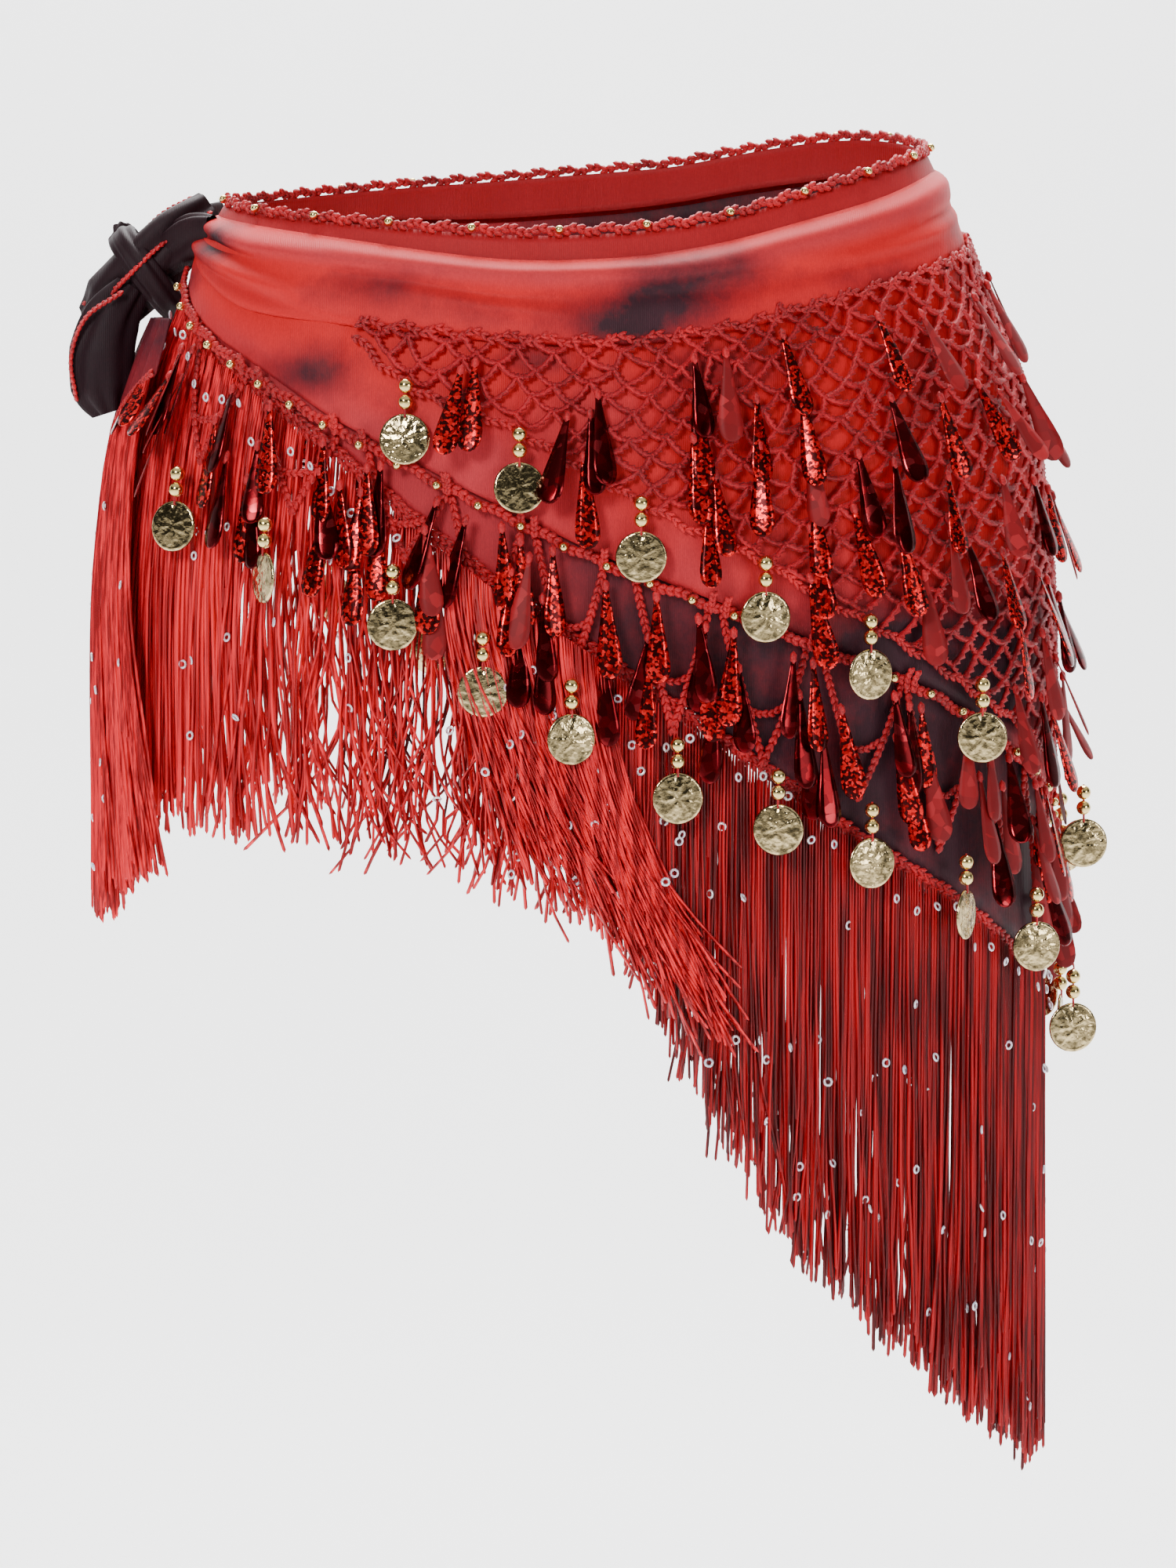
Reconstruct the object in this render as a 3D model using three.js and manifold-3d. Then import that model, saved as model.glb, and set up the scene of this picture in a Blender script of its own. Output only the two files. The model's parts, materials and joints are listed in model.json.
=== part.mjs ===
// Belly dance hip scarf, worn: two tie-dyed chiffon layers wrapped round the hips and knotted at the
// right hip, with a folded waist, a crocheted net, crocheted loops, gold coins and a long fringe.
// Millimetres, +Z up. X runs to the wearer's left hip, -Y is the wearer's front, and the origin is the
// middle of the waist opening. The cloth lies on the rings of a plain, general hip figure.
import * as THREE from 'three';
import { mergeVertices } from 'three/addons/utils/BufferGeometryUtils.js';
import Module from 'manifold-3d';

const wasm = await Module();
wasm.setup();

// ---- driving dimensions -------------------------------------------------------------------------

const SEAM_GAP = 0.3; // clear space between two pieces at a seam
const CLOTH = 1.2; // wall of one layer of chiffon with its hems
const LAYER = 2.2; // from one layer to the next: a wall and the air behind it
const BAND_WALL = 2.5; // wall of the folded waist
const BAND_SWELL = 3; // how far the rolled fold stands out
const EDGE_CORD = 4; // crocheted cord of the waist edge and of the upper hem, diameter
const LOOP_CORD = 2.8; // crocheted chain of the hanging loops, diameter
const LOOP_HALF_WIDTH = 15; // half the width of a loop at the hem
const HEADING = 6; // height of the crocheted heading that holds the fringe
const COIN = 20; // diameter of a coin
const COIN_WALL = 1; // its thickness
const BEAD = 6; // diameter of the two beads above a coin
const HANG = 33; // from the thread down to the lower edge of a coin
const KNOT_TURN = 10; // thickness of the turn that wraps the knot

// The scarf runs once round the hips, from its front end at the knot, past the front (0 degrees), the
// left hip (90) and the back (180), to its back end on the other side of the knot.
const FRONT_END = -82;
const BACK_END = 260;
const POINT = 97; // where the hems reach their lowest, at the left hip
const NET_START = -40; // where the net leaves the waist band in front
const NET_END = 218;
const COLUMN = 6; // degrees between the columns of points of a panel
const STRETCH_GAP = 0.2; // degrees between two stretches of fringe

// Rings of the hip figure: half width, depth in front of the middle and depth behind it.
const HIP_POWER = 2.25; // 2 is an ellipse, more is squarer
const HIP_RINGS = [
  { z: -540, side: 184, front: 119, back: 129 },
  { z: -260, side: 184, front: 119, back: 130 },
  { z: -185, side: 184, front: 119, back: 131 },
  { z: -150, side: 182, front: 118, back: 130 },
  { z: -105, side: 176, front: 113, back: 125 },
  { z: -75, side: 167, front: 108, back: 119 },
  { z: -50, side: 156, front: 103, back: 112 },
  { z: -25, side: 147, front: 98, back: 106 },
  { z: 0, side: 140, front: 92, back: 98 },
  { z: 20, side: 135, front: 88, back: 94 },
];

// Heights of the scarf's lines, from the front end to the left hip: waist edge, fold of the waist,
// lower edge of the waist band, lower edge of the net, upper hem, under hem and tips of the fringe.
const LINES = [
  { angle: -82, rim: -13, fold: -19, band: -33, net: 20, upper: -39, under: -43, tips: -262 },
  { angle: -70, rim: -17, fold: -22, band: -46, net: -5, upper: -58, under: -62, tips: -262 },
  { angle: -60, rim: -19.5, fold: -25, band: -56, net: -25, upper: -73, under: -77, tips: -262 },
  { angle: -45, rim: -22.5, fold: -29.5, band: -61.5, net: -55, upper: -95, under: -104, tips: -268 },
  { angle: -30, rim: -25, fold: -34, band: -65.5, net: -84.5, upper: -114, under: -133, tips: -276 },
  { angle: -15, rim: -26.5, fold: -37, band: -68.5, net: -98, upper: -131, under: -159, tips: -284 },
  { angle: 0, rim: -26.3, fold: -37, band: -69.8, net: -116, upper: -147, under: -182, tips: -298 },
  { angle: 15, rim: -24.5, fold: -35, band: -68.5, net: -135, upper: -161, under: -204, tips: -335 },
  { angle: 30, rim: -20.5, fold: -30, band: -63.5, net: -152.5, upper: -175, under: -228, tips: -405 },
  { angle: 45, rim: -12.5, fold: -22, band: -55, net: -176, upper: -191, under: -257, tips: -452 },
  { angle: 60, rim: -3.5, fold: -13.5, band: -45.5, net: -203, upper: -211, under: -284, tips: -490 },
  { angle: 75, rim: 4, fold: -4.5, band: -37, net: -228, upper: -238, under: -312, tips: -520 },
  { angle: 90, rim: 8, fold: 0.5, band: -31, net: -256, upper: -260, under: -322, tips: -524 },
  { angle: 97, rim: 9, fold: 1.5, band: -30, net: -260, upper: -264, under: -323, tips: -524 },
];
const BACK_LIFT = 26; // how much higher the waist runs in the middle of the back than in front

// Largest folds of the cloth, drawn out of the knot: where each starts and ends, and its half width
// and height. The back half of the scarf carries the same folds, mirrored.
const FOLDS = [
  { angle: -84, z: -26, toAngle: -46, toZ: -44, width: 12, height: 2.5 },
  { angle: -84, z: -40, toAngle: -44, toZ: -76, width: 14, height: 3 },
  { angle: -44, z: -72, toAngle: -8, toZ: -128, width: 18, height: 3 },
  { angle: 2, z: -84, toAngle: 28, toZ: -170, width: 20, height: 3.5 },
  { angle: 44, z: -78, toAngle: 58, toZ: -210, width: 20, height: 3 },
];

// Coins, each on two beads: along the lower edge of the net, and at the tips of the loops. The turn is
// how far the coin has twisted on its thread, in degrees; the drop is from the upper hem down to the
// tip of the loop.
const NET_COINS = [
  { angle: -30.3, turn: 0 },
  { angle: -10.9, turn: 4 },
  { angle: 10.2, turn: 0 },
  { angle: 29.9, turn: -3 },
  { angle: 44.6, turn: 12 },
  { angle: 59.1, turn: -35 },
  { angle: 87, turn: -78 },
  { angle: 101, turn: 60 },
  { angle: 115, turn: -5 },
  { angle: 131, turn: 6 },
  { angle: 149, turn: 0 },
  { angle: 169, turn: -20 },
  { angle: 191, turn: 4 },
  { angle: 212, turn: 0 },
];
const LOOP_COINS = [
  { angle: -63.3, turn: 15, drop: 47.4 },
  { angle: -47.9, turn: -38, drop: 43.3 },
  { angle: -30.3, turn: 12, drop: 38 },
  { angle: -16.5, turn: 0, drop: 48 },
  { angle: -1.6, turn: 20, drop: 50 },
  { angle: 16.1, turn: 5, drop: 56.6 },
  { angle: 31, turn: -25, drop: 55 },
  { angle: 45.4, turn: 4, drop: 54 },
  { angle: 57.6, turn: 30, drop: 60 },
  { angle: 69.5, turn: -38, drop: 55 },
  { angle: 79, turn: -60, drop: 75 },
  { angle: 91, turn: -10, drop: 60 },
  { angle: 103, turn: 20, drop: 55 },
  { angle: 116, turn: -14, drop: 55 },
  { angle: 129, turn: 20, drop: 58 },
  { angle: 143, turn: 0, drop: 52 },
  { angle: 158, turn: -6, drop: 55 },
  { angle: 173, turn: 12, drop: 57 },
  { angle: 189, turn: 0, drop: 53 },
  { angle: 205, turn: -28, drop: 55 },
  { angle: 221, turn: 6, drop: 52 },
  { angle: 237, turn: 0, drop: 55 },
];

// How far the inside of each layer stands off the hip figure.
const OFF = {
  strip: 0,
  under: LAYER,
  upper: 2 * LAYER,
  net: 3 * LAYER + 0.5,
  band: 3 * LAYER,
  fringe: LAYER - 0.5,
  tail: 12,
};

// ---- materials ----------------------------------------------------------------------------------

const finish = (color, roughness, metalness = 0) =>
  new THREE.MeshStandardMaterial({ color, roughness, metalness, side: THREE.DoubleSide });
const ROSE_CHIFFON = finish(0xb23c46, 0.7);
const RED_CHIFFON = finish(0xcb2e2c, 0.65);
const PLUM_CHIFFON = finish(0x4a2c36, 0.75);
const CROCHET = finish(0xa31426, 0.85);
const NET = finish(0x8e1020, 0.7);
const FRINGE_THREAD = finish(0xc42a2a, 0.5);
const GOLD = finish(0xd9bd76, 0.3, 1);

// ---- the hip figure and the lines on it ---------------------------------------------------------

// A smooth curve through one column of a table, read at a value of its key column.
function readTable(rows, key, column, at) {
  const last = rows.length - 1;
  const value = Math.min(Math.max(at, rows[0][key]), rows[last][key]);
  let i = 0;
  while (i < last - 1 && value > rows[i + 1][key]) i++;
  const slope = (k) => {
    const before = rows[Math.max(k - 1, 0)];
    const after = rows[Math.min(k + 1, last)];
    return (after[column] - before[column]) / (after[key] - before[key]);
  };
  const width = rows[i + 1][key] - rows[i][key];
  const t = (value - rows[i][key]) / width;
  const ease = t * t * (3 - 2 * t);
  return rows[i][column] * (1 - ease) + rows[i + 1][column] * ease
    + width * (t * (1 - t) ** 2 * slope(i) - t * t * (1 - t) * slope(i + 1));
}

// The angle in front that a place on the back mirrors.
const frontAngle = (angle) =>
  angle <= POINT ? angle : POINT - ((angle - POINT) * (POINT - FRONT_END)) / (BACK_END - POINT);

// How far round the back a place is: 0 at the left hip, 1 in the middle of the back, 0 at the knot.
const backness = (angle) =>
  angle <= POINT ? 0 : Math.sin((Math.PI * (angle - POINT)) / (BACK_END - POINT));

// The height of one of the scarf's lines at an angle.
function line(name, angle) {
  const height = readTable(LINES, 'angle', name, frontAngle(angle));
  if (name === 'rim' || name === 'fold' || name === 'band') return height + BACK_LIFT * backness(angle);
  return height;
}

// How far the folds lift the cloth at an angle and height.
function foldHeight(angle, z) {
  const mmPerDegree = 3;
  const front = frontAngle(angle);
  let lift = 0;
  for (const fold of FOLDS) {
    const along = [(fold.toAngle - fold.angle) * mmPerDegree, fold.toZ - fold.z];
    const here = [(front - fold.angle) * mmPerDegree, z - fold.z];
    const length = Math.hypot(...along);
    const t = (here[0] * along[0] + here[1] * along[1]) / length ** 2;
    const aside = (here[0] * along[1] - here[1] * along[0]) / length;
    const fade = Math.max(0, 1 - (2 * t - 1) ** 2) ** 0.5;
    lift += fold.height * fade * Math.exp(-((aside / fold.width) ** 2));
  }
  return lift;
}

// The point of the hip figure at an angle and height, moved out by an offset and by the folds.
function hipPoint(angle, z, off) {
  const out = off + foldHeight(angle, z);
  const turn = THREE.MathUtils.degToRad(angle);
  const side = readTable(HIP_RINGS, 'z', 'side', z) + out;
  const depth = readTable(HIP_RINGS, 'z', Math.cos(turn) >= 0 ? 'front' : 'back', z) + out;
  const radius = (Math.abs(Math.sin(turn) / side) ** HIP_POWER
    + Math.abs(Math.cos(turn) / depth) ** HIP_POWER) ** (-1 / HIP_POWER);
  return new THREE.Vector3(radius * Math.sin(turn), -radius * Math.cos(turn), z);
}

// ---- shapes -------------------------------------------------------------------------------------

// A closed cloth wall over a stretch of angles, between a top and a low line. Its outside stands off
// the hip figure by `off + wall`, and more where `swell` says so.
function clothWall({ from, to, top, low, off, wall = CLOTH, rows = 4, swell = () => 0 }) {
  const columns = Math.max(2, Math.round((to - from) / COLUMN));
  const positions = [];
  const index = [];
  const across = columns + 1;
  for (const side of [1, 0]) {
    for (let j = 0; j <= rows; j++) {
      for (let i = 0; i <= columns; i++) {
        const angle = from + ((to - from) * i) / columns;
        const down = (j / rows) ** 1.3;
        const z = top(angle) * (1 - down) + low(angle) * down;
        positions.push(...hipPoint(angle, z, off + side * wall + swell(j / rows)));
      }
    }
  }
  const outer = (i, j) => j * across + i;
  const inner = (i, j) => (rows + 1) * across + outer(i, j);
  const quad = (a, b, c, d) => index.push(a, b, c, a, c, d);
  for (let i = 0; i < columns; i++) {
    for (let j = 0; j < rows; j++) {
      quad(outer(i, j), outer(i, j + 1), outer(i + 1, j + 1), outer(i + 1, j));
      quad(inner(i, j), inner(i + 1, j), inner(i + 1, j + 1), inner(i, j + 1));
    }
    quad(outer(i, 0), outer(i + 1, 0), inner(i + 1, 0), inner(i, 0));
    quad(outer(i, rows), inner(i, rows), inner(i + 1, rows), outer(i + 1, rows));
  }
  for (let j = 0; j < rows; j++) {
    quad(outer(0, j), inner(0, j), inner(0, j + 1), outer(0, j + 1));
    quad(outer(columns, j), outer(columns, j + 1), inner(columns, j + 1), inner(columns, j));
  }
  const geometry = new THREE.BufferGeometry();
  geometry.setAttribute('position', new THREE.Float32BufferAttribute(positions, 3));
  geometry.setIndex(index);
  geometry.computeVertexNormals();
  return geometry;
}

// A round cord along a list of points.
function cord(points, diameter, steps, sides = 6) {
  const section = new THREE.Shape();
  section.setFromPoints(Array.from({ length: sides }, (_, i) => {
    const turn = (2 * Math.PI * i) / sides;
    return new THREE.Vector2(Math.cos(turn), Math.sin(turn)).multiplyScalar(diameter / 2);
  }));
  const extrudePath = new THREE.CatmullRomCurve3(points, false, 'centripetal');
  return new THREE.ExtrudeGeometry(section, { steps, extrudePath, bevelEnabled: false });
}

// A cord that follows one of the scarf's lines round the hips.
function lineCord(name, drop, off, diameter, from, to) {
  const steps = Math.round((to - from) / 7.5);
  const points = Array.from({ length: steps + 1 }, (_, i) => {
    const angle = from + ((to - from) * i) / steps;
    return hipPoint(angle, line(name, angle) - drop, off);
  });
  return cord(points, diameter, steps);
}

// A cord that bends sharply at each point of a path round the hips, with mitred corners.
function bentCord(points, diameter, sides = 5) {
  const positions = [];
  const index = [];
  const last = points.length - 1;
  points.forEach((point, i) => {
    const before = point.clone().sub(points[Math.max(i - 1, 0)]).normalize();
    const after = points[Math.min(i + 1, last)].clone().sub(point).normalize();
    const tangent = before.clone().add(after).normalize();
    const side = tangent.clone().cross(new THREE.Vector3(point.x, point.y, 0)).normalize();
    const out = side.clone().cross(tangent);
    const mitre = i === 0 || i === last ? 1 : 1 / tangent.dot(after);
    for (let k = 0; k < sides; k++) {
      const turn = (2 * Math.PI * k) / sides;
      const corner = point.clone().addScaledVector(side, (mitre * Math.cos(turn) * diameter) / 2);
      positions.push(...corner.addScaledVector(out, (Math.sin(turn) * diameter) / 2));
      const next = (k + 1) % sides;
      const [a, b] = [i * sides + k, i * sides + next];
      if (i < last) index.push(a, a + sides, b + sides, a, b + sides, b);
    }
  });
  for (let k = 1; k < sides - 1; k++) {
    index.push(0, k, k + 1, last * sides, last * sides + k + 1, last * sides + k);
  }
  const geometry = new THREE.BufferGeometry();
  geometry.setAttribute('position', new THREE.Float32BufferAttribute(positions, 3));
  geometry.setIndex(index);
  geometry.computeVertexNormals();
  return geometry;
}

// A closed mesh as a solid for cutting and joining, with its faces turned outwards.
function toSolid(geometry) {
  const bare = geometry.clone();
  bare.deleteAttribute('normal');
  bare.deleteAttribute('uv');
  const merged = mergeVertices(bare, 1e-4);
  return new wasm.Manifold(new wasm.Mesh({
    numProp: 3,
    vertProperties: new Float32Array(merged.attributes.position.array),
    triVerts: new Uint32Array(merged.index.array),
  }));
}

function fromSolid(solid) {
  const mesh = solid.getMesh();
  const geometry = new THREE.BufferGeometry();
  geometry.setAttribute('position', new THREE.BufferAttribute(new Float32Array(mesh.vertProperties), 3));
  geometry.setIndex(new THREE.BufferAttribute(new Uint32Array(mesh.triVerts), 1));
  geometry.computeVertexNormals();
  return geometry;
}

// A coin on its two beads, hung from the origin: X across, Y out of the coin's face, Z up.
function coinOnBeads() {
  const neck = 0.7;
  const end = 2 * BEAD + 3;
  const profile = [
    [0, -end], [neck, -end], [BEAD / 2, -1.5 * BEAD - 0.5], [neck, -BEAD - 0.3],
    [BEAD / 2, -0.5 * BEAD - 0.3], [neck, 0], [0, 0],
  ].map(([radius, z]) => new THREE.Vector2(radius, z));
  const beads = new THREE.LatheGeometry(profile, 6).rotateX(Math.PI / 2);
  const disc = new THREE.CylinderGeometry(COIN / 2, COIN / 2, COIN_WALL, 12);
  disc.translate(0, 0, 1 - end - COIN / 2);
  return fromSolid(toSolid(beads).add(toSolid(disc)));
}

// ---- the scarf ----------------------------------------------------------------------------------

const scarf = new THREE.Group();

function add(name, geometry, material) {
  const mesh = new THREE.Mesh(geometry, material);
  mesh.name = name;
  scarf.add(mesh);
  return mesh;
}

const along = (name, drop = 0) => (angle) => line(name, angle) - drop;
const WHOLE = { from: FRONT_END, to: BACK_END };

// Waist: the inner strip with its crocheted edge, and the cloth folded over it.
add('inner_strip', clothWall({
  ...WHOLE, top: along('rim', EDGE_CORD / 2 + SEAM_GAP), low: along('fold', 6), off: OFF.strip, rows: 1,
}), ROSE_CHIFFON);
add('waist_edge', lineCord('rim', 0, EDGE_CORD / 2, EDGE_CORD, FRONT_END, BACK_END), CROCHET);
add('waist_band', clothWall({
  ...WHOLE, top: along('fold'), low: along('band'), off: OFF.band, wall: BAND_WALL, rows: 3,
  swell: (t) => BAND_SWELL * Math.sin(Math.PI * t) * (1 - t),
}), RED_CHIFFON);

// The two layers of chiffon.
add('upper_panel', clothWall({
  ...WHOLE, top: along('fold', 6 + SEAM_GAP), low: along('upper'), off: OFF.upper, rows: 5,
}), RED_CHIFFON);
add('under_panel', clothWall({
  ...WHOLE, top: along('fold', 6 + SEAM_GAP), low: along('under'), off: OFF.under, rows: 6,
}), PLUM_CHIFFON);

// The crocheted net below the waist band.
add('net_panel', clothWall({
  from: NET_START, to: NET_END, top: along('band', SEAM_GAP), low: along('net'), off: OFF.net, rows: 5,
}), NET);

// Upper hem with its crocheted cord, and the chain of loops that hangs from it.
const hemOff = OFF.upper + EDGE_CORD / 2;
add('upper_hem_cord',
  lineCord('upper', EDGE_CORD / 2 + 2 * SEAM_GAP, hemOff, EDGE_CORD, FRONT_END, BACK_END), CROCHET);

const loopOff = OFF.under + CLOTH + 4 * SEAM_GAP + LOOP_CORD / 2;
const chainDrop = EDGE_CORD + 2 * LOOP_CORD;


function loopChain() {
  const points = [];
  for (const { angle, drop } of LOOP_COINS) {
    const radius = hipPoint(angle, line('upper', angle), 0).length();
    const halfAngle = Math.min(6.6, THREE.MathUtils.radToDeg(LOOP_HALF_WIDTH / radius));
    for (const [turn, share] of [[-1, 0], [-0.56, 0.5], [-0.12, 1], [0.12, 1], [0.56, 0.5], [1, 0]]) {
      const at = angle + turn * halfAngle;
      const high = line('upper', at) - chainDrop;
      const tip = line('upper', angle) - drop;
      points.push(hipPoint(at, high * (1 - share) + tip * share, loopOff));
    }
  }
  return bentCord(points, LOOP_CORD);
}
add('loop_chain', loopChain(), CROCHET);

// Under hem: the crocheted heading, and the fringe below it in stretches round the hips.
add('fringe_heading', clothWall({
  ...WHOLE, top: along('under', SEAM_GAP), low: along('under', HEADING), off: OFF.fringe,
  wall: 1.6, rows: 1,
}), CROCHET);
const FRINGE_STRETCHES = [
  { name: 'fringe_front_end', from: FRONT_END, to: -40 },
  { name: 'fringe_front', from: -40, to: 14 },
  { name: 'fringe_left_front', from: 14, to: 56 },
  { name: 'fringe_left_hip', from: 56, to: 116 },
  { name: 'fringe_left_back', from: 116, to: 164 },
  { name: 'fringe_back', from: 164, to: 218 },
  { name: 'fringe_back_end', from: 218, to: BACK_END },
];
for (const { name, from, to } of FRINGE_STRETCHES) {
  add(name, clothWall({
    from, to: to - STRETCH_GAP, top: along('under', HEADING + SEAM_GAP), low: along('tips'), off: OFF.fringe,
    wall: 1.6, rows: 3,
  }), FRINGE_THREAD);
}

// The two tied ends: each tail hangs from the knot with a fringe of its own.
const TAILS = [
  { name: 'front_tail', from: -89, to: -73, highAt: -73, lowAt: -89 },
  { name: 'back_tail', from: -107, to: -91, highAt: -107, lowAt: -91 },
];
const TAIL_TOP = -66;
const TAIL_HEM = { high: -82, low: -112, tips: -300 };
for (const { name, from, to, highAt, lowAt } of TAILS) {
  const hem = (angle) =>
    THREE.MathUtils.mapLinear(angle, highAt, lowAt, TAIL_HEM.high, TAIL_HEM.low);
  add(name, clothWall({ from, to, top: () => TAIL_TOP, low: hem, off: OFF.tail, rows: 2 }), PLUM_CHIFFON);
  add(`${name}_fringe`, clothWall({
    from, to, top: (angle) => hem(angle) - SEAM_GAP, low: () => TAIL_HEM.tips, off: OFF.tail,
    wall: 2.4, rows: 3,
  }), FRINGE_THREAD);
}

// The knot: a twisted roll of both ends, the turn that wraps it, and the loop left below it.
const KNOT = {
  middle: new THREE.Vector3(-175, 0, -40),
  half: new THREE.Vector3(29, 17, 13), // along the roll, front to back, through it
  slope: THREE.MathUtils.degToRad(-40), // the roll falls away from the body
};
const roll = new THREE.SphereGeometry(1, 14, 10).rotateZ(Math.PI / 2);
roll.scale(KNOT.half.x, KNOT.half.y, KNOT.half.z);
const knot = add('knot', roll, PLUM_CHIFFON);
knot.position.copy(KNOT.middle);
knot.rotation.y = KNOT.slope;

const wrapPath = Array.from({ length: 15 }, (_, i) => {
  const turn = (2 * Math.PI * i) / 15.6;
  const reach = (half) => half + KNOT_TURN / 2 + SEAM_GAP;
  return new THREE.Vector3(4 * Math.sin(turn), reach(KNOT.half.y) * Math.cos(turn),
    reach(KNOT.half.z) * Math.sin(turn));
});
const wrap = add('knot_turn', cord(wrapPath, KNOT_TURN * 0.9, 18, 8), PLUM_CHIFFON);
wrap.position.copy(KNOT.middle);
wrap.rotation.y = KNOT.slope;

// The loop of cloth left below the knot, in front of the tails.
const LOOP_ROLL = 17;
add('knot_loop', cord([
  new THREE.Vector3(-194, -20, -62),
  new THREE.Vector3(-196, -21, -75),
  new THREE.Vector3(-197.5, -22, -88),
  new THREE.Vector3(-198, -23, -97),
], LOOP_ROLL, 6, 8), PLUM_CHIFFON);

// Coins. Each hangs on its own thread, straight down or along the cloth that slopes out below it.
const coinShape = coinOnBeads();
const coinOff = hemOff + EDGE_CORD / 2 + SEAM_GAP + BEAD / 2;

function hangCoin(name, angle, z, turn) {
  const twist = THREE.MathUtils.degToRad(turn);
  const off = coinOff + (COIN / 2) * Math.abs(Math.sin(twist)) - 1;
  const hook = hipPoint(angle, z, off);
  const step = 2;
  const across = hipPoint(angle - step, z, off).sub(hipPoint(angle + step, z, off)).setZ(0).normalize();
  const level = new THREE.Vector3(0, 0, 1).cross(across);
  const lean = Math.max(0, hipPoint(angle, z - HANG, off).sub(hook).dot(level));
  const up = new THREE.Vector3(0, 0, HANG).addScaledVector(level, -lean).normalize();
  const out = new THREE.Vector3().crossVectors(up, across);
  const coin = add(name, coinShape.clone().rotateZ(twist), GOLD);
  coin.quaternion.setFromRotationMatrix(new THREE.Matrix4().makeBasis(across, out, up));
  coin.position.copy(hook);
}
NET_COINS.forEach(({ angle, turn }, i) => {
  hangCoin(`net_coin_${i + 1}`, angle, line('net', angle) + 2, turn);
});
LOOP_COINS.forEach(({ angle, turn, drop }, i) => {
  hangCoin(`loop_coin_${i + 1}`, angle, line('upper', angle) - drop - LOOP_CORD / 2 - SEAM_GAP, turn);
});

export default scarf;
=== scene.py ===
"""Belly dance hip scarf: the looks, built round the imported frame.

Shapes are worked out in millimetres in the frame's own axes (+X the wearer's left hip, -Y the front,
+Z up, origin in the middle of the waist opening) and turned into metres where a mesh is made.
"""

import json
import math

import bpy
import numpy as np
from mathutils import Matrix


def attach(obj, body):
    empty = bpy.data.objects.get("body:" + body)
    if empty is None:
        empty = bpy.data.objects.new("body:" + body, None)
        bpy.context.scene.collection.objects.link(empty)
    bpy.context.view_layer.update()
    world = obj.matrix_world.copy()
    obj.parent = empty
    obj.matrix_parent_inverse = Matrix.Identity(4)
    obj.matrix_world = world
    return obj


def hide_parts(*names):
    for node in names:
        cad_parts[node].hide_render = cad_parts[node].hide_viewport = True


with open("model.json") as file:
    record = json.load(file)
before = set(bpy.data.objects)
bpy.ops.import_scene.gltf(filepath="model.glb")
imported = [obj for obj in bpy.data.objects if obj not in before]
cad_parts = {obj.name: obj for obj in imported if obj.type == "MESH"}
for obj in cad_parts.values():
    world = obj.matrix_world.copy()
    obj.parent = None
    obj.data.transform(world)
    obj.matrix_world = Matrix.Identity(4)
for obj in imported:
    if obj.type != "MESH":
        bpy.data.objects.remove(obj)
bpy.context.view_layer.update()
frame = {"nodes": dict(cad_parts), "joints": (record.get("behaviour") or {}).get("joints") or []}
rng = np.random.default_rng(7)

MM = 0.001


# ---- camera

def make_camera():
    """A long lens a little above the hips, looking straight at the front of the scarf."""
    distance, elevation, target = 2.4, math.radians(5), np.array([0.0026, 0.0, -0.25])
    data = bpy.data.cameras.new("camera")
    data.sensor_fit = "VERTICAL"
    data.sensor_height = 24
    data.lens = 89.9
    camera = bpy.data.objects.new("camera", data)
    camera.location = target + distance * np.array([0, -math.cos(elevation), math.sin(elevation)])
    camera.rotation_euler = (math.pi / 2 - elevation, 0, 0)
    bpy.context.scene.collection.objects.link(camera)
    bpy.context.scene.camera = camera


make_camera()


# ---- the hip figure and the scarf's lines, as in the frame

HIP_POWER = 2.25
HIP_RINGS = {
    "z": (-540, -260, -185, -150, -105, -75, -50, -25, 0, 20),
    "side": (184, 184, 184, 182, 176, 167, 156, 147, 140, 135),
    "front": (119, 119, 119, 118, 113, 108, 103, 98, 92, 88),
    "back": (129, 130, 131, 130, 125, 119, 112, 106, 98, 94),
}
FRONT_END, BACK_END, POINT = -82, 260, 97
NET_START, NET_END = -40, 218
STRAND_STEPS = 9
BACK_LIFT = 26
LINES = {
    "angle": (-82, -70, -60, -45, -30, -15, 0, 15, 30, 45, 60, 75, 90, 97),
    "rim": (-13, -17, -19.5, -22.5, -25, -26.5, -26.3, -24.5, -20.5, -12.5, -3.5, 4, 8, 9),
    "fold": (-19, -22, -25, -29.5, -34, -37, -37, -35, -30, -22, -13.5, -4.5, 0.5, 1.5),
    "band": (-33, -46, -56, -61.5, -65.5, -68.5, -69.8, -68.5, -63.5, -55, -45.5, -37, -31, -30),
    "net": (20, -5, -25, -55, -84.5, -98, -116, -135, -152.5, -176, -203, -228, -256, -260),
    "upper": (-39, -58, -73, -95, -114, -131, -147, -161, -175, -191, -211, -238, -260, -264),
    "under": (-43, -62, -77, -104, -133, -159, -182, -204, -228, -257, -284, -312, -322, -323),
    "tips": (-262, -262, -262, -268, -276, -284, -298, -335, -405, -452, -490, -520, -524, -524),
}
FOLDS = (  # angle, z, end angle, end z, half width, height
    (-84, -26, -46, -44, 12, 2.5),
    (-84, -40, -44, -76, 14, 3),
    (-44, -72, -8, -128, 18, 3),
    (2, -84, 28, -170, 20, 3.5),
    (44, -78, 58, -210, 20, 3),
)
OFF = {"strip": 0.6, "under": 3.0, "upper": 5.2, "net": 8.2, "band": 8.6, "fringe": 2.2}


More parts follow.
